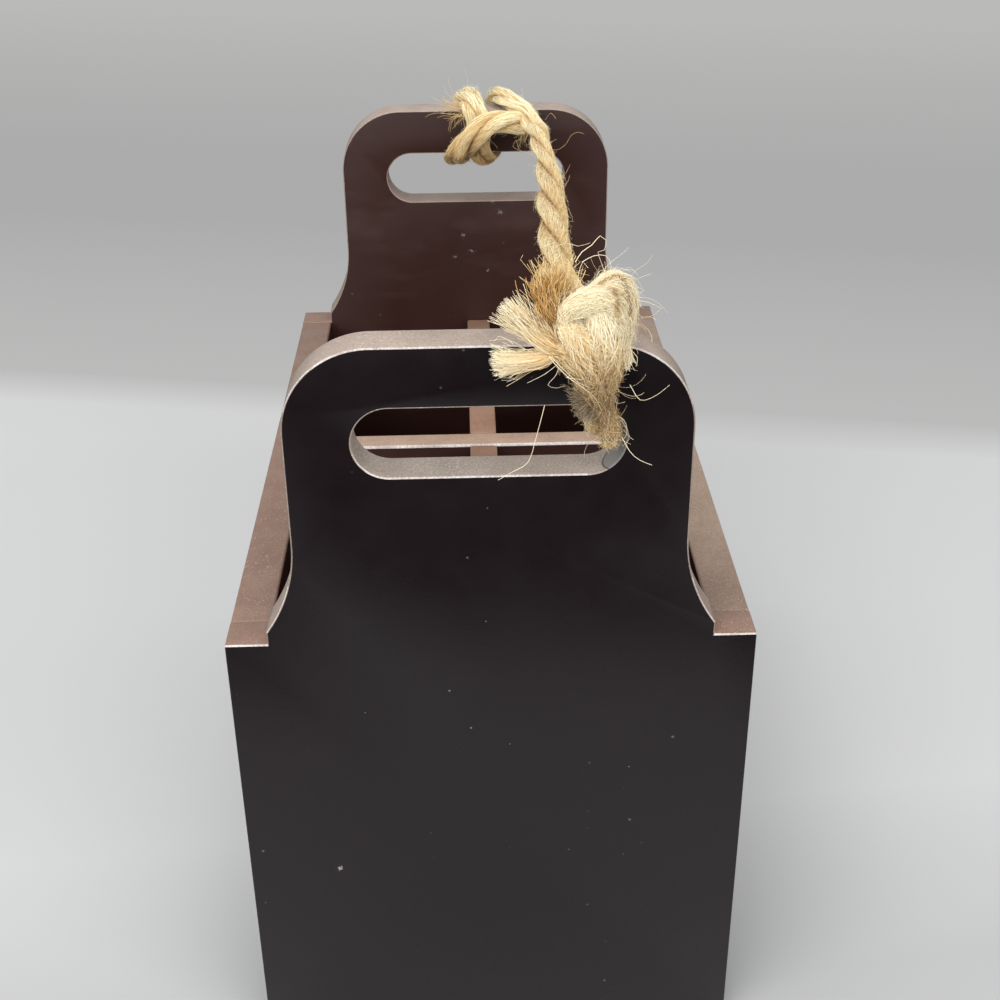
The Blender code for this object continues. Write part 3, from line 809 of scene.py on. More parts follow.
def hank(points, widths, thicknesses, shades, threads, seed):
    """The path, threads, frizz and curls of one flat hank. shades are its tones from root to end;
    they are paler on the top of the loop, a painted highlight where the light falls, and darker
    further down.

    Threads that lie in a crease across the hank or in a groove between two hanks are darker, which
    is painted shade, and a few are dull all along.
    """
    rng = np.random.default_rng(seed)
    path, along = measured(smooth_route(millimetres(points), 0.001))
    share = along / along[-1]
    wide, thick = evenly(widths, share) / 1000, evenly(thicknesses, share) / 1000
    shade = evenly(shades, share)
    lines, where, angle = threads_on(path, wide, thick, threads, 0.010, HANK_TWIST, 0.05, rng,
                                     wild=90.0, curl=0.0004, kink=0.00009, first=FACING)
    # Painted shade: threads in creases across the hank, and in the grooves between hanks, are
    # darker.
    crease_shade = np.clip(np.sin(5.0 * angle + 2.5 * np.sin(7.0 * where + seed)) - 0.7, 0.0, 0.3)
    in_groove = nearest_on(flattened(lines), groove_path)[1]
    crease_shade = crease_shade + np.interp(in_groove, [0.0003, 0.0008], [1.0, 0.0])
    dull = 0.5 * (rng.uniform(0.0, 1.0, (threads, 1)) < 0.08)
    spread = np.interp(where, [0.0, 0.35, 0.6, 1.0], [0.14, 0.2, 0.36, 0.3])
    uneven = rng.normal(0.0, 1.0, (threads, 1)) * spread
    tones = np.interp(where, share, shade) + 0.08 + uneven - dull - crease_shade
    frizz, where, _ = threads_on(path, wide, thick, threads // 3, 0.007, HANK_TWIST, 0.08, rng,
                                 wild=400.0, curl=0.0012, kink=0.0002, first=FACING)
    frizz_tones = np.interp(where, share, shade) + rng.normal(0.0, 0.16, (len(frizz), 1))
    curls = curls_off(lines, path, threads // 64, 0.008, rng)
    return {"path": path, "wide": wide, "thick": thick, "shade": shade, "lines": lines,
            "radii": thread_radii(threads, 0.00006, 0.00014, rng),
            "tones": np.clip(tones, 0.0, 1.0), "frizz": frizz,
            "frizz_radii": thread_radii(len(frizz), *FUZZ_RADII, rng),
            "frizz_tones": np.clip(frizz_tones, 0.0, 1.0), "curls": curls}


def hank_core(name, path, wide, thick, shade):
    """Rings across the hank, bridged one to the next."""
    side, up = sides_of(path, FACING)
    form = bmesh.new()
    last = None
    stations = list(range(0, len(path) - 1, 3)) + [len(path) - 1]
    for index in stations:
        heading = np.cross(side[index], up[index])
        turn = np.eye(4)
        turn[:3, 0] = side[index] * wide[index]
        turn[:3, 1] = up[index] * thick[index]
        turn[:3, 2] = heading * wide[index]
        turn[:3, 3] = path[index]
        made = bmesh.ops.create_circle(form, cap_ends=False, segments=RING_CORNERS, radius=0.94,
                                       matrix=Matrix(turn))
        ring = list({edge for vert in made["verts"] for edge in vert.link_edges})
        if last is None or index == len(path) - 1:
            bmesh.ops.contextual_create(form, geom=ring)
        if last is not None:
            bmesh.ops.bridge_loops(form, edges=last + ring)
        last = ring
    bmesh.ops.recalc_face_normals(form, faces=form.faces)
    mesh = mesh_from_form(name, form)
    # The core is darker than the threads over it: painted shade in the gaps between them.
    set_tone(mesh, np.repeat(np.clip(shade[stations] - 0.2, 0.0, 1.0), RING_CORNERS))
    return mesh


# Each hank's points in mm, then its half widths, half thicknesses, tones, threads and seed.
HANKS = {
    "rim": ([(19.6, -143, 97.0), (21.8, -140, 101.2), (24.6, -137, 103.6), (27.6, -134, 105.4),
             (30.4, -131, 106.3), (32.8, -130, 105.6), (34.0, -130, 103.2), (34.1, -131, 99.8),
             (33.4, -132, 94.2), (32.3, -133, 89.6), (31.0, -133, 86.8), (29.8, -132, 83.2),
             (29.4, -130, 78.0)],
            [1.8, 2.0, 2.2, 2.2, 2.1, 1.7, 1.0], [2.6, 2.6, 2.6, 2.6, 2.4, 2.0, 1.2],
            [0.9, 1.1, 1.15, 1.1, 0.4], 1600, 11),
    "nested": ([(23.2, -139, 100.8), (26.0, -137, 102.8), (28.8, -135, 104.4), (31.2, -134, 103.6),
                (32.3, -134.5, 100.6), (32.0, -135.5, 96.2), (30.9, -136, 90.6),
                (29.5, -136, 84.8), (29.2, -134, 78.0)],
               [1.6, 2.6, 2.8, 2.8, 2.4, 1.8, 1.2], [2.4, 2.8, 2.8, 2.6, 2.0, 1.4],
               [0.9, 1.0, 1.0, 0.6, 0.1], 1200, 12),
    "shoulder": ([(17.1, -143, 99.6), (19.1, -143.5, 103.4), (21.6, -143.5, 105.4),
                  (24.6, -142.5, 106.2), (27.9, -141, 105.0), (30.0, -140, 101.5),
                  (30.8, -139, 96.9), (30.5, -138, 91.8), (29.6, -137, 86.7), (28.2, -136, 80.7)],
                 [1.6, 2.4, 2.8, 3.0, 3.0, 2.8, 2.6, 2.2, 1.6], [1.6, 2.2, 2.6, 2.6, 2.4, 2.2, 1.6],
                 [0.9, 1.1, 1.15, 1.15, 1.1, 0.9, 0.5, 0.2], 1000, 16),
    "body": ([(23.9, -138.5, 103.2), (26.3, -141, 101.8), (28.0, -142.6, 98.4), (28.5, -143, 93.2),
              (27.9, -140.8, 85.4), (28.0, -137.8, 77.6), (30.2, -134.6, 70.0), (31.6, -129, 61.4)],
             [2.4, 4.8, 5.4, 5.0, 3.2, 1.9, 1.6, 1.0], [2.4, 3.0, 3.2, 3.0, 2.4, 1.8, 1.6, 1.0],
             [1.15, 1.1, 0.6, 0.3, 0.2, 0.2, 0.3, 0.55], 2300, 14),
    "fan": ([(18.9, -143, 100.4), (20.8, -145, 98.4), (23.2, -146, 95.4), (25.7, -144.8, 90.4),
             (27.1, -141.2, 83.8), (28.6, -137.6, 75.8), (31.2, -133, 66.6)],
            [3.0, 4.0, 4.3, 3.7, 2.5, 1.6, 1.0], [1.8, 2.6, 3.0, 2.8, 2.2, 1.6, 1.0],
            [0.9, 0.65, 0.38, 0.2, 0.15, 0.25, 0.5], 1500, 15),
    "lower": ([(15.6, -144.5, 94.4), (18.6, -145.5, 93.4), (21.6, -145.8, 91.2),
               (24.2, -144.2, 87.0), (26.2, -141, 81.6), (27.9, -137.9, 75.4), (30.6, -134, 68.0)],
              [2.2, 3.2, 3.4, 2.8, 1.9, 1.4, 1.0], [1.8, 2.4, 2.6, 2.4, 1.9, 1.5, 1.0],
              [0.55, 0.45, 0.25, 0.12, 0.1, 0.2, 0.45], 800, 13),
}
hanks = {name: hank(*facts) for name, facts in HANKS.items()}
print("hanks:", list(hanks))


# %% The front loop
def gathered(key, names=tuple(hanks)):
    return np.concatenate([hanks[name][key] for name in names])


def hank_piece(name, names):
    """One piece of several hanks, cores and threads."""
    meshes = []
    for key in names:
        shape = (hanks[key][part] for part in ("path", "wide", "thick", "shade"))
        meshes.append(hank_core("core_" + key, *shape))
    threads = (gathered(key, names) for key in ("lines", "radii", "tones"))
    meshes.append(swept_mesh(name + "_threads", *threads))
    return joined_piece(name, meshes, [jute_pale] * len(meshes))


front_loop = hank_piece("front_loose_loop", ("rim", "nested", "fan"))
front_body = hank_piece("front_loop_body", ("shoulder", "body", "lower"))
loop_frizz = swept_mesh("loop_frizz", *map(gathered, ("frizz", "frizz_radii", "frizz_tones")))
curls = gathered("curls")
loop_curls = swept_mesh("loop_curls", curls, [STRAY_RADIUS] * len(curls), [0.75] * len(curls))
front_frizz = joined_piece("front_loop_frizz", [loop_frizz, loop_curls], [jute_pale, jute_pale])
for piece in (front_loop, front_body, front_frizz):
    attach(piece, "box")
    print_triangles(piece)
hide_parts("front_rope_hitch")
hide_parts("front_rope_hitch")

# %% [markdown]
# ## Frayed ends
#
# Where the rope was cut, each strand has burst into a brush. A brush is a bundle of nearly straight
# threads that share a root and spread towards their tips, with a few that bend away.

# %% Brushes
STRAY_LIMIT = 0.004          # how far a thread may bend out of its brush


def brush(root, tip, root_radius, tip_radius, threads, seed, bend=(0.0, 0.0, 0.0), spread=0.5,
          uneven=0.16, wavy=0.5):
    """Threads from a narrow root to a wide tip, all in mm.

    bend pulls the middle aside, spread sends some threads astray, uneven varies their lengths, and
    wavy makes them frizzy.
    """
    rng = np.random.default_rng(seed)
    root, tip = millimetres([root, tip])
    bend = np.array(bend) / 1000
    reach = np.array(tip - root)
    ahead = np.array([root, tip, tip + (tip - root)])
    side, up = (sides[0] for sides in sides_of(ahead, (0.3, -0.9, 0.2)))
    turn = rng.uniform(0.0, 2 * math.pi, (threads, 1))
    far = np.sqrt(rng.uniform(0.0, 1.0, (threads, 1)))
    share = np.linspace(0.0, 1.0, THREAD_STEPS)[None, :]
    share = share * rng.uniform(1.0 - uneven * 2, 1.0 + uneven, (threads, 1))
    radius = (root_radius + (tip_radius - root_radius) * share ** 1.3) / 1000 * far
    wave = rng.normal(0.0, wavy / 1000, (threads, 1))
    wave = wave * np.sin(share * rng.uniform(2.0, 7.0, (threads, 1)))
    wave = wave + rng.normal(0.0, wavy / 5000, (threads, THREAD_STEPS)) * share
    astray, lift = (np.clip(rng.standard_t(3, (threads, 1)) * spread * 0.003 * share ** 2,
                            -STRAY_LIMIT, STRAY_LIMIT) for _ in range(2))
    across = np.cos(turn) * radius + wave + astray
    out = np.sin(turn) * radius * 0.8 - wave + lift
    arch = 4 * share * (1 - share)
    lines = np.stack([root[k] + reach[k] * share + bend[k] * arch + side[k] * across + up[k] * out
                      for k in range(3)], axis=2)
    radii = rng.uniform(0.00005, 0.00012, (threads, 1)) * (1.0 - 0.5 * share ** 3 / 2)
    return lines, radii, share


def brush_piece(name, brushes, shades, materials, replaced):
    """One piece of several brushes, each with its own material and its tones at root and tip."""
    meshes = []
    for index, ((lines, radii, share), (low, high)) in enumerate(zip(brushes, shades)):
        rng = np.random.default_rng(90 + index)
        tones = low + (high - low) * share + rng.normal(0.0, 0.18, (len(lines), 1))
        meshes.append(swept_mesh(f"{name}_{index}", lines, radii, np.clip(tones, 0.0, 1.0)))
    piece = joined_piece(name, meshes, materials)
    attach(piece, "box")
    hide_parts(replaced)
    print_triangles(piece)
    return piece


front_brushes = [
    brush((16.9, -142.0, 99.4), (14.7, -136.5, 109.2), 1.8, 4.6, 1300, 21, bend=(-0.3, 0.0, 0.2),
          spread=0.2, wavy=1.8),
    brush((17.2, -141.0, 101.6), (17.2, -133.5, 111.0), 2.0, 3.6, 300, 25, spread=0.6, uneven=0.22,
          wavy=2.8),
    brush((16.4, -145.0, 94.2), (5.6, -142.0, 103.4), 2.1, 2.1, 800, 22, bend=(0.6, 0.0, -0.8),
          spread=0.3, uneven=0.18),
    brush((17.0, -144.0, 95.4), (11.4, -142.0, 103.4), 1.8, 2.8, 110, 26, spread=0.9, uneven=0.34),
    brush((16.0, -145.3, 93.4), (2.4, -144.0, 91.2), 1.5, 2.5, 700, 23, bend=(0.0, 0.0, -0.4),
          spread=0.3, uneven=0.14),
    brush((27.8, -138.0, 79.0), (21.8, -140.0, 77.4), 2.6, 3.5, 420, 24, uneven=0.14),
    brush((33.0, -134.5, 93.6), (33.0, -136.2, 86.4), 1.8, 2.6, 420, 27, spread=0.3, uneven=0.14),
]
front_frayed = brush_piece(
    "front_brushes", front_brushes,
    ((0.15, 0.6), (0.4, 0.75), (0.4, 0.95), (0.4, 0.9), (0.4, 0.95), (0.2, 0.45), (0.8, 1.0)),
    [jute_tan, jute_tan, jute_pale, jute_pale, jute_pale, jute_grey, jute_pale],
    "front_frayed_end")
rear_brushes = [brush((19.8, 106.4, 83.0), (18.4, 104.2, 78.4), 1.3, 1.6, 16, 31),
                brush((17.4, 106.0, 81.6), (19.6, 104.0, 77.6), 0.7, 1.4, 10, 32)]
rear_frayed = brush_piece("rear_brushes", rear_brushes, ((0.1, 0.2), (0.2, 0.4)),
                          [jute, jute_grey], "rear_frayed_end")

# %% [markdown]
# ## Loose fibres
#
# A few long fibres have worked free and curl away from the rope. Each is a thin tube along a curve
# through listed points, as a florist would bend a wire.

# %% Loose fibres
def fibres_piece(name, curves, radius, tone, tuft=()):
    """One piece of single fibres, each through its own points in mm, and the lines of a tuft."""
    lines = [np.array([tuple(p) for p in smooth_route(millimetres(points), 0.0015)])
             for points in curves] + list(tuft)
    radii = [np.linspace(radius, radius * 0.6, len(line)) for line in lines]
    mesh = swept_mesh(name, lines, radii, [tone] * len(lines))
    piece = joined_piece(name, [mesh], [jute_pale])
    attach(piece, "box")
    return piece


front_fibres = fibres_piece("front_loose_fibres", [
    [(21.7, -130, 111.4), (23.5, -128, 113.3), (26.0, -127, 114.7), (28.0, -126, 116.6),
     (29.5, -126, 115.5), (29.0, -127, 113.3), (27.4, -128, 113.2), (28.1, -129, 111.0),
     (28.8, -130, 108.7), (27.7, -132, 107.4)],
    [(23.4, -130, 111.4), (26.4, -128, 112.2), (29.5, -127, 111.8), (30.7, -128, 109.5),
     (29.8, -130, 107.2), (26.9, -133, 106.8)],
    [(21.9, -134, 107.0), (22.5, -132, 109.6), (23.5, -131, 111.8), (24.8, -131, 110.2)],
    [(18.1, -128, 110.8), (16.3, -126, 113.2), (19.8, -125, 114.6), (22.6, -126, 114.1),
     (25.5, -127, 115.2)],
    [(17.2, -145, 91.0), (16.3, -145, 88.2), (14.4, -144, 85.1), (16.7, -143, 83.8),
     (18.7, -142, 83.9)],
    [(17.2, -146, 92.0), (13.5, -147, 89.4), (9.2, -147, 87.1)],
    [(14.4, -148, 94.5), (15.7, -149, 92.8), (19.1, -150, 89.5), (22.8, -149, 86.3),
     (25.5, -147, 83.0), (27.6, -144, 78.2)],
    [(14.9, -149, 94.5), (17.6, -150, 91.9), (21.3, -150, 88.3), (25.0, -147, 85.3)],
    [(19.1, -149, 92.9), (23.4, -149, 89.9), (26.9, -147, 86.0), (30.2, -143, 81.8),
     (31.8, -140, 77.7), (31.7, -138, 73.7)],
    [(18.5, -149, 89.2), (22.1, -149, 88.6), (23.9, -148, 88.9)],
    [(34.0, -133, 69.8), (35.8, -132, 66.4), (36.3, -131, 63.4), (35.0, -130, 61.2)],
    [(6.0, -144, 96.0), (5.3, -144, 96.8), (2.5, -144, 98.2), (1.4, -144, 96.9)],
    [(13.9, -140, 77.9), (12.0, -139, 69.2), (9.8, -139, 61.6), (5.7, -139, 58.8),
     (2.1, -138, 56.0)],
    [(34.1, -134, 65.6), (36.0, -137, 62.8), (38.3, -139, 61.4), (41.5, -139, 59.9)],
    [(35.2, -138, 82.0), (37.5, -141, 79.2), (40.9, -143, 81.1), (44.4, -143, 84.0)],
    [(36.7, -132, 102.1), (40.3, -131, 100.8), (43.5, -130, 98.8)],
    [(28.0, -135, 107.0), (28.5, -135, 111.4), (30.5, -134, 113.0), (32.6, -134, 114.7),
     (34.2, -134, 116.2)],
    [(31.2, -136, 71.5), (33.1, -137, 72.7), (34.7, -137, 70.7), (35.1, -136, 67.4),
     (34.2, -134, 64.8), (32.6, -132, 63.8)],
], 0.00010, 0.9)
rng = np.random.default_rng(41)
hairs = curly(np.array([-0.0045, 0.1120, 0.2430]) + rng.normal(0.0, 0.0022, (60, 3)),
              np.array([-1.0, -0.3, -0.1]) + rng.normal(0.0, 0.5, (60, 3)), 0.010, 0.16, rng)
rear_fibres = fibres_piece("rear_loose_fibres", [
    [(27.7, 108, 86.7), (29.9, 106, 89.9), (31.8, 104, 88.0)],
    [(26.5, 90, 81.0), (31.0, 88, 80.0), (34.8, 88, 82.4), (36.6, 88, 85.6), (39.4, 88, 86.8),
     (41.6, 88, 86.0)],
    [(-4.9, 112, 96.1), (-9.7, 110, 94.7), (-15.7, 108, 90.5)],
    [(-3.0, 110, 94.0), (-7.0, 108, 92.6), (-12.0, 108, 93.4)],
    [(16.1, 105, 79.7), (17.6, 104, 76.0), (22.3, 103, 74.2)],
    [(16.1, 105, 79.7), (14.8, 104, 77.4), (18.6, 103, 75.4), (22.8, 103, 73.6)],
], 0.00007, 0.5, hairs)
[tuple(p) for p in span_route]
print("fibres:", front_fibres.name, rear_fibres.name)

# %% [markdown]
# ## Paint
#
# The boards are painted a very dark brown. The faces are smooth and a little dusty; the inside faces
# get a lighter, browner copy of the paint, which is painted light. The edges are grainy and a little
# dusty, and their paint is paler than the faces' in copies that differ from edge to edge: painted
# light where the light falls on them. The rounded front arrises are paler still, a painted
# highlight.

# %% Paint on the faces
FLECK = (0.42, 0.37, 0.34)


def marks(tree, place, spots):
    """1 inside the spots, each a ragged patch with a centre and a radius, and 0 outside."""
    ragged = ramp(tree, noise(tree, place, 0.0007), 0.35, 0.65, 0.5, 1.9)
    share = None
    for centre, radius in spots:
        away = times(tree, distance(tree, place, centre), ragged)
        found = ramp(tree, away, radius * 0.5, radius * 1.2, 1.0, 0.0)
        share = calc(tree, "MAXIMUM", share, found) if share else found
    return share


def face_paint(name, dark, light, roughness, dust, dust_colour, flecks, smears):
    """Smooth paint with clouds, dust specks and an orange-peel surface.

    flecks are larger specks, each with its place, and smears is how strong the wiped dust is.
    """
    made, tree, shader = new_finish(name, roughness, Specular_IOR_Level=0.45)
    place = object_place(tree)
    colour = mix(tree, ramp(tree, noise(tree, place, 0.05, 4.0), 0.3, 0.7), dark, light)
    away, chances = cells(tree, place, 170.0)
    speck = calc(tree, "LESS_THAN", away, ramp(tree, chances[0], 0.45, 1.0, 0.0, 0.075))
    speck = times(tree, speck, ramp(tree, noise(tree, place, 0.02, 3.0), 0.42, 0.62))
    colour = mix(tree, times(tree, speck, dust), colour, dust_colour)
    smear = noise(tree, object_place(tree, (1.0, 1.0, 3.0)), 0.030, 5.0)
    colour = mix(tree, ramp(tree, smear, 0.54, 0.72, 0.0, smears), colour, dust_colour)
    colour = mix(tree, times(tree, marks(tree, place, flecks), dust), colour, FLECK)
    tree.links.new(colour, shader.inputs["Base Color"])
    gloss = noise(tree, place, 0.012, 3.0)
    gloss = ramp(tree, gloss, 0.3, 0.7, roughness - 0.03, roughness + 0.03)
    tree.links.new(gloss, shader.inputs["Roughness"])
    peel = calc(tree, "ADD", noise(tree, place, 0.0012), times(tree, speck, 1.5))
    add_bump(tree, shader, peel, 0.10, 0.0002)
    return made


def flecks_on(y, spots):
    """Flecks on a panel's face. spots holds X, Z and radius in mm."""
    return [((x / 1000, y, z / 1000), radius / 1000) for x, z, radius in spots]


outside_paint = face_paint(
    "outside_paint", (0.0054, 0.0021, 0.0031), (0.0067, 0.0029, 0.0040), 0.29, 0.75,
    (0.20, 0.18, 0.17),
    flecks_on(-0.128, [(-65.7, 166.1, 0.6), (-64.6, 163.1, 0.5), (-65.7, 159.8, 0.6),
                       (-64.2, 157.8, 0.4), (-47.8, 68.7, 0.7)]), 0.0)
# The inside paint is a lighter, browner copy of the outside paint: painted light where the light
# falls into the box.
inside_paint = face_paint(
    "inside_paint", (0.031, 0.0098, 0.0072), (0.038, 0.0126, 0.0095), 0.42, 0.34,
    (0.30, 0.22, 0.20),
    flecks_on(0.116, [(6.4, 204.0, 1.0), (10.1, 198.9, 0.9), (-2.1, 182.5, 0.8),
                      (-5.8, 189.3, 0.7), (-9.2, 180.2, 0.6), (4.2, 173.8, 0.6)]), 0.045)
print("face paints:", outside_paint.name, inside_paint.name)

# %% Paint on the edges
# Painted glints: tiny near-white spots on the edges that stand for sparkles of light.
PAINTED_GLINT = (0.85, 0.80, 0.75)
# A darker grey patch at the front slot's right end: a paint blob, painted darker as shade where the
# slot's end turns from the light, with a dark rim that paints a shadow at its edge.
BLOB_RADIUS = 0.0070
SHADED_BLOB = (0.215, 0.208, 0.195)
BLOB_RIM_SHADOW = (0.05, 0.042, 0.038)


def edge_paint(name, dark, light, grain, sparkle, sides=1.0, fades=None, shaded_blob=None):
    """Grainy paint on sawn edges, with tiny pale spots that are painted glints.

    sides paints shade by darkening the paint where the edge turns down, away from the light, fades
    gives
    the Y where it turns from dark to light, and the last argument is the middle of a darker grey
    patch:
    a paint blob, painted darker as shade, with a dark rim that is a painted shadow.
    """
    made, tree, shader = new_finish(name, 0.5)
    place = object_place(tree)
    clouds = ramp(tree, noise(tree, place, 0.009, 4.0), 0.35, 0.65)
    if fades:
        fade = ramp(tree, axis_of(tree, place, "Y"), *fades, 0.0, 0.75)
        clouds = calc(tree, "ADD", times(tree, clouds, 0.25), fade)
    grit = noise(tree, place, 0.0006, 3.0)
    paler = tuple(min(1.0, c * 1.6) for c in light)
    darker = tuple(c * 0.6 for c in dark)
    colour = mix(tree, clouds, dark, light)
    colour = mix(tree, ramp(tree, grit, 0.45, 0.75, 0.0, grain), colour, paler)
    colour = mix(tree, ramp(tree, grit, 0.55, 0.25, 0.0, grain), colour, darker)
    away, chances = cells(tree, place, 1500.0)
    glint = times(tree, calc(tree, "LESS_THAN", away, 0.32), ramp(tree, chances[1], 0.80, 0.84))
    highlit = ramp(tree, noise(tree, place, 0.02), 0.35, 0.7, 0.0, sparkle)
    colour = mix(tree, times(tree, glint, highlit), colour, PAINTED_GLINT)
    if sides < 1.0:
        up = axis_of(tree, node(tree, "NewGeometry").outputs["Normal"], "Z")
        colour = mix(tree, ramp(tree, up, 0.30, 0.95, sides, 1.0), (0.0, 0.0, 0.0), colour)
    if shaded_blob:
        away = distance(tree, place, shaded_blob)
        inside = ramp(tree, away, BLOB_RADIUS - 0.0004, BLOB_RADIUS + 0.0003, 1.0, 0.0)
        colour = mix(tree, inside, colour, SHADED_BLOB)
        rim = calc(tree, "ABSOLUTE", calc(tree, "SUBTRACT", away, BLOB_RADIUS + 0.0001))
        colour = mix(tree, ramp(tree, rim, 0.0001, 0.0004, 0.9, 0.0), colour, BLOB_RIM_SHADOW)
    tree.links.new(colour, shader.inputs["Base Color"])
    add_bump(tree, shader, grit, 0.35, 0.0002)
    return made


# Each edge has its own copy of the paler edge paint, lighter where more light falls on it: painted
# light. The right edge is paler than the left, a painted sheen, and the arch edge is painted darker
# where it turns down.
arch_edge = edge_paint("arch_edge", (0.40, 0.315, 0.260), (0.47, 0.373, 0.312), 0.35, 0.8,
                       sides=0.66)
front_slot_edge = edge_paint("front_slot_edge", (0.34, 0.280, 0.240), (0.42, 0.358, 0.308), 0.45,
                             1.0, shaded_blob=(0.0360, -0.1242, 0.2093))
rear_slot_edge = edge_paint("rear_slot_edge", (0.27, 0.200, 0.165), (0.34, 0.255, 0.212), 0.30, 0.4)
left_edge = edge_paint("left_edge", (0.250, 0.150, 0.112), (0.290, 0.186, 0.140), 0.25, 0.4)
right_edge = edge_paint("right_edge", (0.220, 0.146, 0.112), (0.390, 0.282, 0.210), 0.25, 0.4,
                        fades=(-0.108, -0.070))
cross_edge = edge_paint("cross_edge", (0.420, 0.282, 0.207), (0.485, 0.343, 0.254), 0.25, 0.3)
long_edge = edge_paint("long_edge", (0.288, 0.160, 0.106), (0.332, 0.194, 0.130), 0.25, 0.3)
# Pale paint on the front-facing arrises of the front end board and the cross divider: a painted
# highlight along the rounding, with some dust.
highlit_arris = edge_paint("highlit_arris", (0.50, 0.42, 0.38), (0.75, 0.69, 0.65), 0.5, 0.8)
print("edge paints:", arch_edge.name, front_slot_edge.name, highlit_arris.name)

# %% [markdown]
# ## End panels
#
# An end panel is one flat board: a body, two shoulders, a flare on each side and an arched handle
# with a hand slot. A flat curve fills an outline with a hole in it, which a single face can't have,
# and a bevel then rounds the arrises.

# %% Boards from outlines
HANDLE_HALF = BOX_WIDTH / 2 - SIDE_THICKNESS - FLARE_REACH
SLOT_HALF = HANDLE_HALF - SLOT_CHEEK
SLOT_MIDDLE = HANDLE_TOP - BAR_HEIGHT - SLOT_HEIGHT / 2
SHARP = math.radians(40)     # edges that turn more than this are bevelled or drawn sharp


def mirrored(right):
    """A whole outline from its right half."""
    return right + [(-x, z) for x, z in reversed(right)]


def arc(centre, radius, start, end, steps):
    """Points on an arc, angles in degrees, both ends included."""
    angles = [math.radians(start + (end - start) * step / steps) for step in range(steps + 1)]
    return [(centre[0] + radius * math.cos(a), centre[1] + radius * math.sin(a)) for a in angles]


def end_outline():
    """An end panel's outline, from its right foot over the arch to its left foot."""
    half = BOX_WIDTH / 2
    rise = FLARE_TOP - SHOULDER_STEP
    flare = (FLARE_REACH ** 2 + rise ** 2) / (2 * FLARE_REACH)
    sweep = math.degrees(math.asin(rise / flare))
    right = [(half, 0.0), (half, BODY_HEIGHT), (half - SIDE_THICKNESS, BODY_HEIGHT)]
    right += arc((HANDLE_HALF + flare, BODY_HEIGHT + FLARE_TOP), flare, 180 + sweep, 180, 16)
    corner = (HANDLE_HALF - HANDLE_CORNER, HANDLE_TOP - HANDLE_CORNER)
    return mirrored(right + arc(corner, HANDLE_CORNER, 0, 90, 28))


def slot_outline():
    """The hand slot's outline, with two round ends."""
    radius = SLOT_HEIGHT / 2
    reach = SLOT_HALF - radius
    right = arc((reach, SLOT_MIDDLE), radius, -90, 90, 32)
    return right + arc((-reach, SLOT_MIDDLE), radius, 90, 270, 32)


def flat_board(name, outlines, thickness, middle, along="Y"):
    """Outlines filled and given a thickness along X or Y, with rounded arrises."""
    curve = bpy.data.curves.new(name, "CURVE")
    curve.dimensions = "2D"
    curve.fill_mode = "BOTH"
    curve.extrude = thickness / 2
    for outline in outlines:
        add_line(curve, outline, True)
    mesh = mesh_from_curve(curve)
    turn = Matrix.Rotation(math.radians(90), 4, "X")
    if along == "X":
        turn = Matrix.Rotation(math.radians(90), 4, "Z") @ turn
    mesh.transform(Matrix.Translation(middle) @ turn)
    form = bmesh.new()
    form.from_mesh(mesh)
    bmesh.ops.remove_doubles(form, verts=form.verts, dist=0.00001)
    bmesh.ops.recalc_face_normals(form, faces=form.faces)
    bmesh.ops.dissolve_limit(form, angle_limit=math.radians(0.2), verts=form.verts,
                             edges=form.edges)
    sharp = [edge for edge in form.edges if edge.calc_face_angle(0.0) > SHARP]
    bmesh.ops.bevel(form, geom=sharp, offset=ARRIS, affect="EDGES", segments=3, profile=0.5,
                    material=-1, clamp_overlap=True)
    return form


def board_piece(name, form, finishes, choose, node_name):
    """Gives each face the finish that choose() picks, and makes the board a piece of the box."""
    for face in form.faces:
        face.material_index = choose(face.normal, face.calc_center_median())
        face.smooth = True
    piece = placed(name, mesh_from_form(name, form))
    piece.data.set_sharp_from_angle(angle=SHARP)
    for finish in finishes:
        piece.data.materials.append(finish)
    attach(piece, "box")
    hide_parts(node_name)


print("handle half width:", HANDLE_HALF, "slot half width:", SLOT_HALF)

# %% End panels
FACES_IT = 0.97              # least share of a normal for a face that looks straight that way
LEANS = 0.2                  # and for an arris that leans that way


def end_finish(side):
    """Outside, inside, arch edge, slot edge, shoulder edge, highlit arris. side is -1 in front."""
    def choose(normal, middle):
        if normal.y * side > FACES_IT:
            return 0
        if normal.y * side < -FACES_IT:
            return 1
        if middle.z < BODY_HEIGHT - 2 * ARRIS:
            return 0
        at_shaded_blob = (SLOT_HALF - SLOT_HEIGHT / 2 < middle.x < SLOT_HALF + ARRIS
                    and middle.z < SLOT_MIDDLE + SLOT_HEIGHT / 2)
        if side < 0 and normal.y < -LEANS and normal.z > LEANS and not at_shaded_blob:
            return 5
        beside, over = abs(middle.x), abs(middle.z - SLOT_MIDDLE)
        if beside < SLOT_HALF + ARRIS and over < SLOT_HEIGHT / 2 + ARRIS:
            return 3
        return 4 if middle.z < BODY_HEIGHT + SHOULDER_STEP else 2
    return choose


for label, side, slot_edge in (("front", -1, front_slot_edge), ("rear", 1, rear_slot_edge)):
    form = flat_board(label + "_end", [end_outline(), slot_outline()], END_THICKNESS,
                      (0.0, side * BAR_Y, 0.0))
    board_piece(label + "_end_board", form,
                [outside_paint, inside_paint, arch_edge, slot_edge, left_edge, highlit_arris],
                end_finish(side), label + "_end_panel")
    print(label, "end board made")

# %% [markdown]
# ## Sides, dividers and floor
#
# The sides butt on the end panels, so they are plain boards with sanded top arrises. The dividers
# are halved together where they cross, which is an outline with a notch in it.

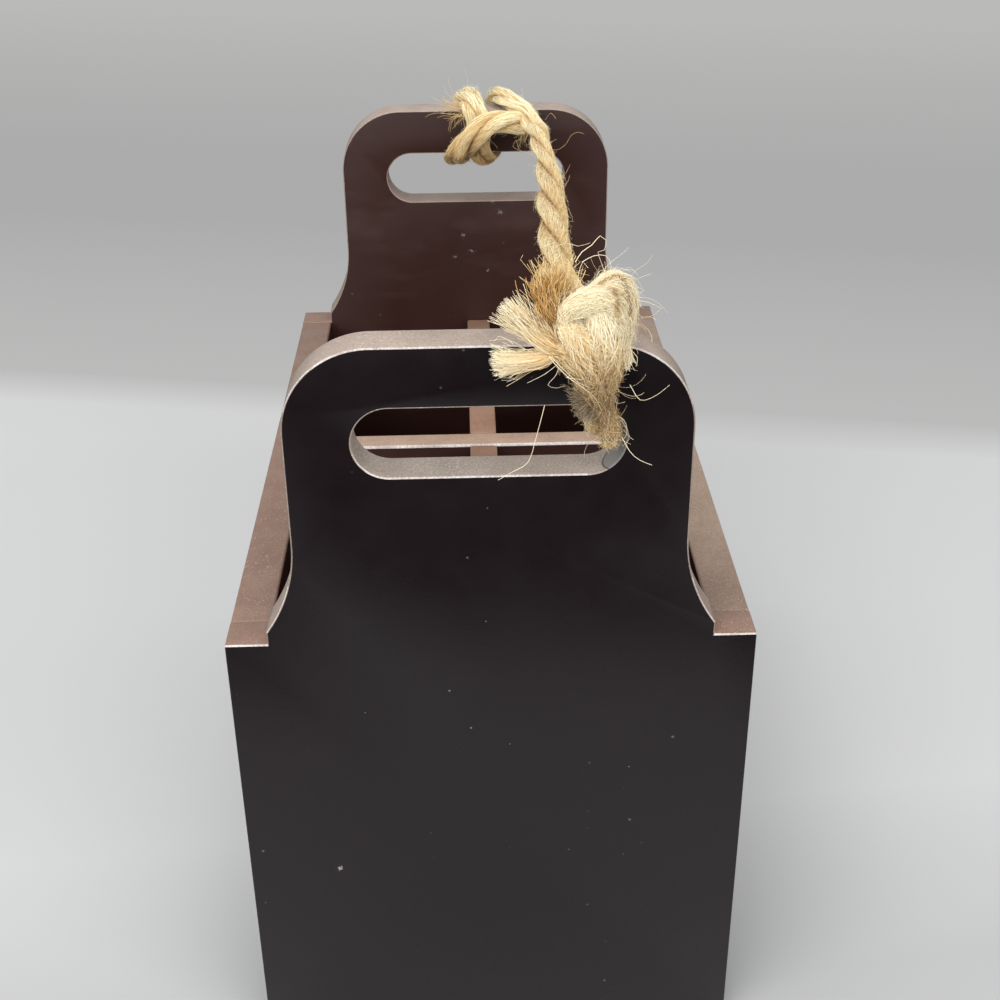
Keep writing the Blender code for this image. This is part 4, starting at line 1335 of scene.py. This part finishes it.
# %% Sides, dividers and floor
HALF_LENGTH = (BOX_LENGTH - 2 * END_THICKNESS) / 2 - GAP     # of the boards between the ends
HALF_WIDTH = (BOX_WIDTH - 2 * SIDE_THICKNESS) / 2 - GAP      # and between the sides
DIVIDER_LOW = FLOOR_THICKNESS + GAP


def notched_outline(half, from_above):
    """A divider's outline with a slot for the other one, down or up to half its height."""
    slot = DIVIDER_THICKNESS / 2 + GAP
    middle = (DIVIDER_LOW + BODY_HEIGHT) / 2
    right = [(half, DIVIDER_LOW), (half, BODY_HEIGHT)]
    if from_above:
        return mirrored(right + [(slot, BODY_HEIGHT), (slot, middle)])
    return mirrored(right) + [(-slot, DIVIDER_LOW), (-slot, middle), (slot, middle),
                              (slot, DIVIDER_LOW)]


def top_finish(outer, highlit=False):
    """Outside, inside, upper edge, highlit arris. outer is the X side that is the box's outside."""
    def choose(normal, middle):
        if normal.z > LEANS:
            return 3 if highlit and normal.z <= FACES_IT and normal.y < -LEANS else 2
        return 0 if normal.x * outer > 0.5 else 1
    return choose


for label, side, edge in (("left", -1, left_edge), ("right", 1, right_edge)):
    form = flat_board(label + "_side", [mirrored([(HALF_LENGTH, 0.0), (HALF_LENGTH, BODY_HEIGHT)])],
                      SIDE_THICKNESS, (side * (BOX_WIDTH - SIDE_THICKNESS) / 2, 0.0, 0.0), "X")
    board_piece(label + "_side_board", form, [outside_paint, inside_paint, edge, highlit_arris],
                top_finish(side), label + "_side_panel")
for label, half, along, edge in (("long", HALF_LENGTH, "X", long_edge),
                                 ("cross", HALF_WIDTH, "Y", cross_edge)):
    form = flat_board(label + "_board", [notched_outline(half, label == "long")],
                      DIVIDER_THICKNESS, (0.0, 0.0, 0.0), along)
    board_piece(label + "_divider_board", form, [outside_paint, inside_paint, edge, highlit_arris],
                top_finish(0, label == "cross"), label + "_divider")
form = flat_board("floor", [mirrored([(HALF_LENGTH, 0.0), (HALF_LENGTH, FLOOR_THICKNESS)])],
                  2 * HALF_WIDTH, (0.0, 0.0, 0.0), "X")
board_piece("bottom_board", form, [outside_paint, inside_paint, inside_paint, inside_paint],
            top_finish(0), "floor_board")
print("boards made")

# %% [markdown]
# ## Brads
#
# The brads are hidden under filler and paint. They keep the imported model's own shape, and get the
# finish of drawn steel wire: bright, and a little streaky.

# %% Brads
steel, tree, shader = new_finish("drawn_steel", 0.35, Metallic=1.0)
streaks = noise(tree, object_place(tree), 0.0004, 3.0)
tree.links.new(mix(tree, streaks, (0.42, 0.41, 0.39), (0.58, 0.57, 0.55)),
               shader.inputs["Base Color"])
tree.links.new(ramp(tree, streaks, 0.3, 0.7, 0.28, 0.45), shader.inputs["Roughness"])
brads = [item for name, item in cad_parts.items() if "brad" in name]
for brad in brads:
    for slot in brad.material_slots:
        slot.material = steel
print("brads finished:", len(brads))
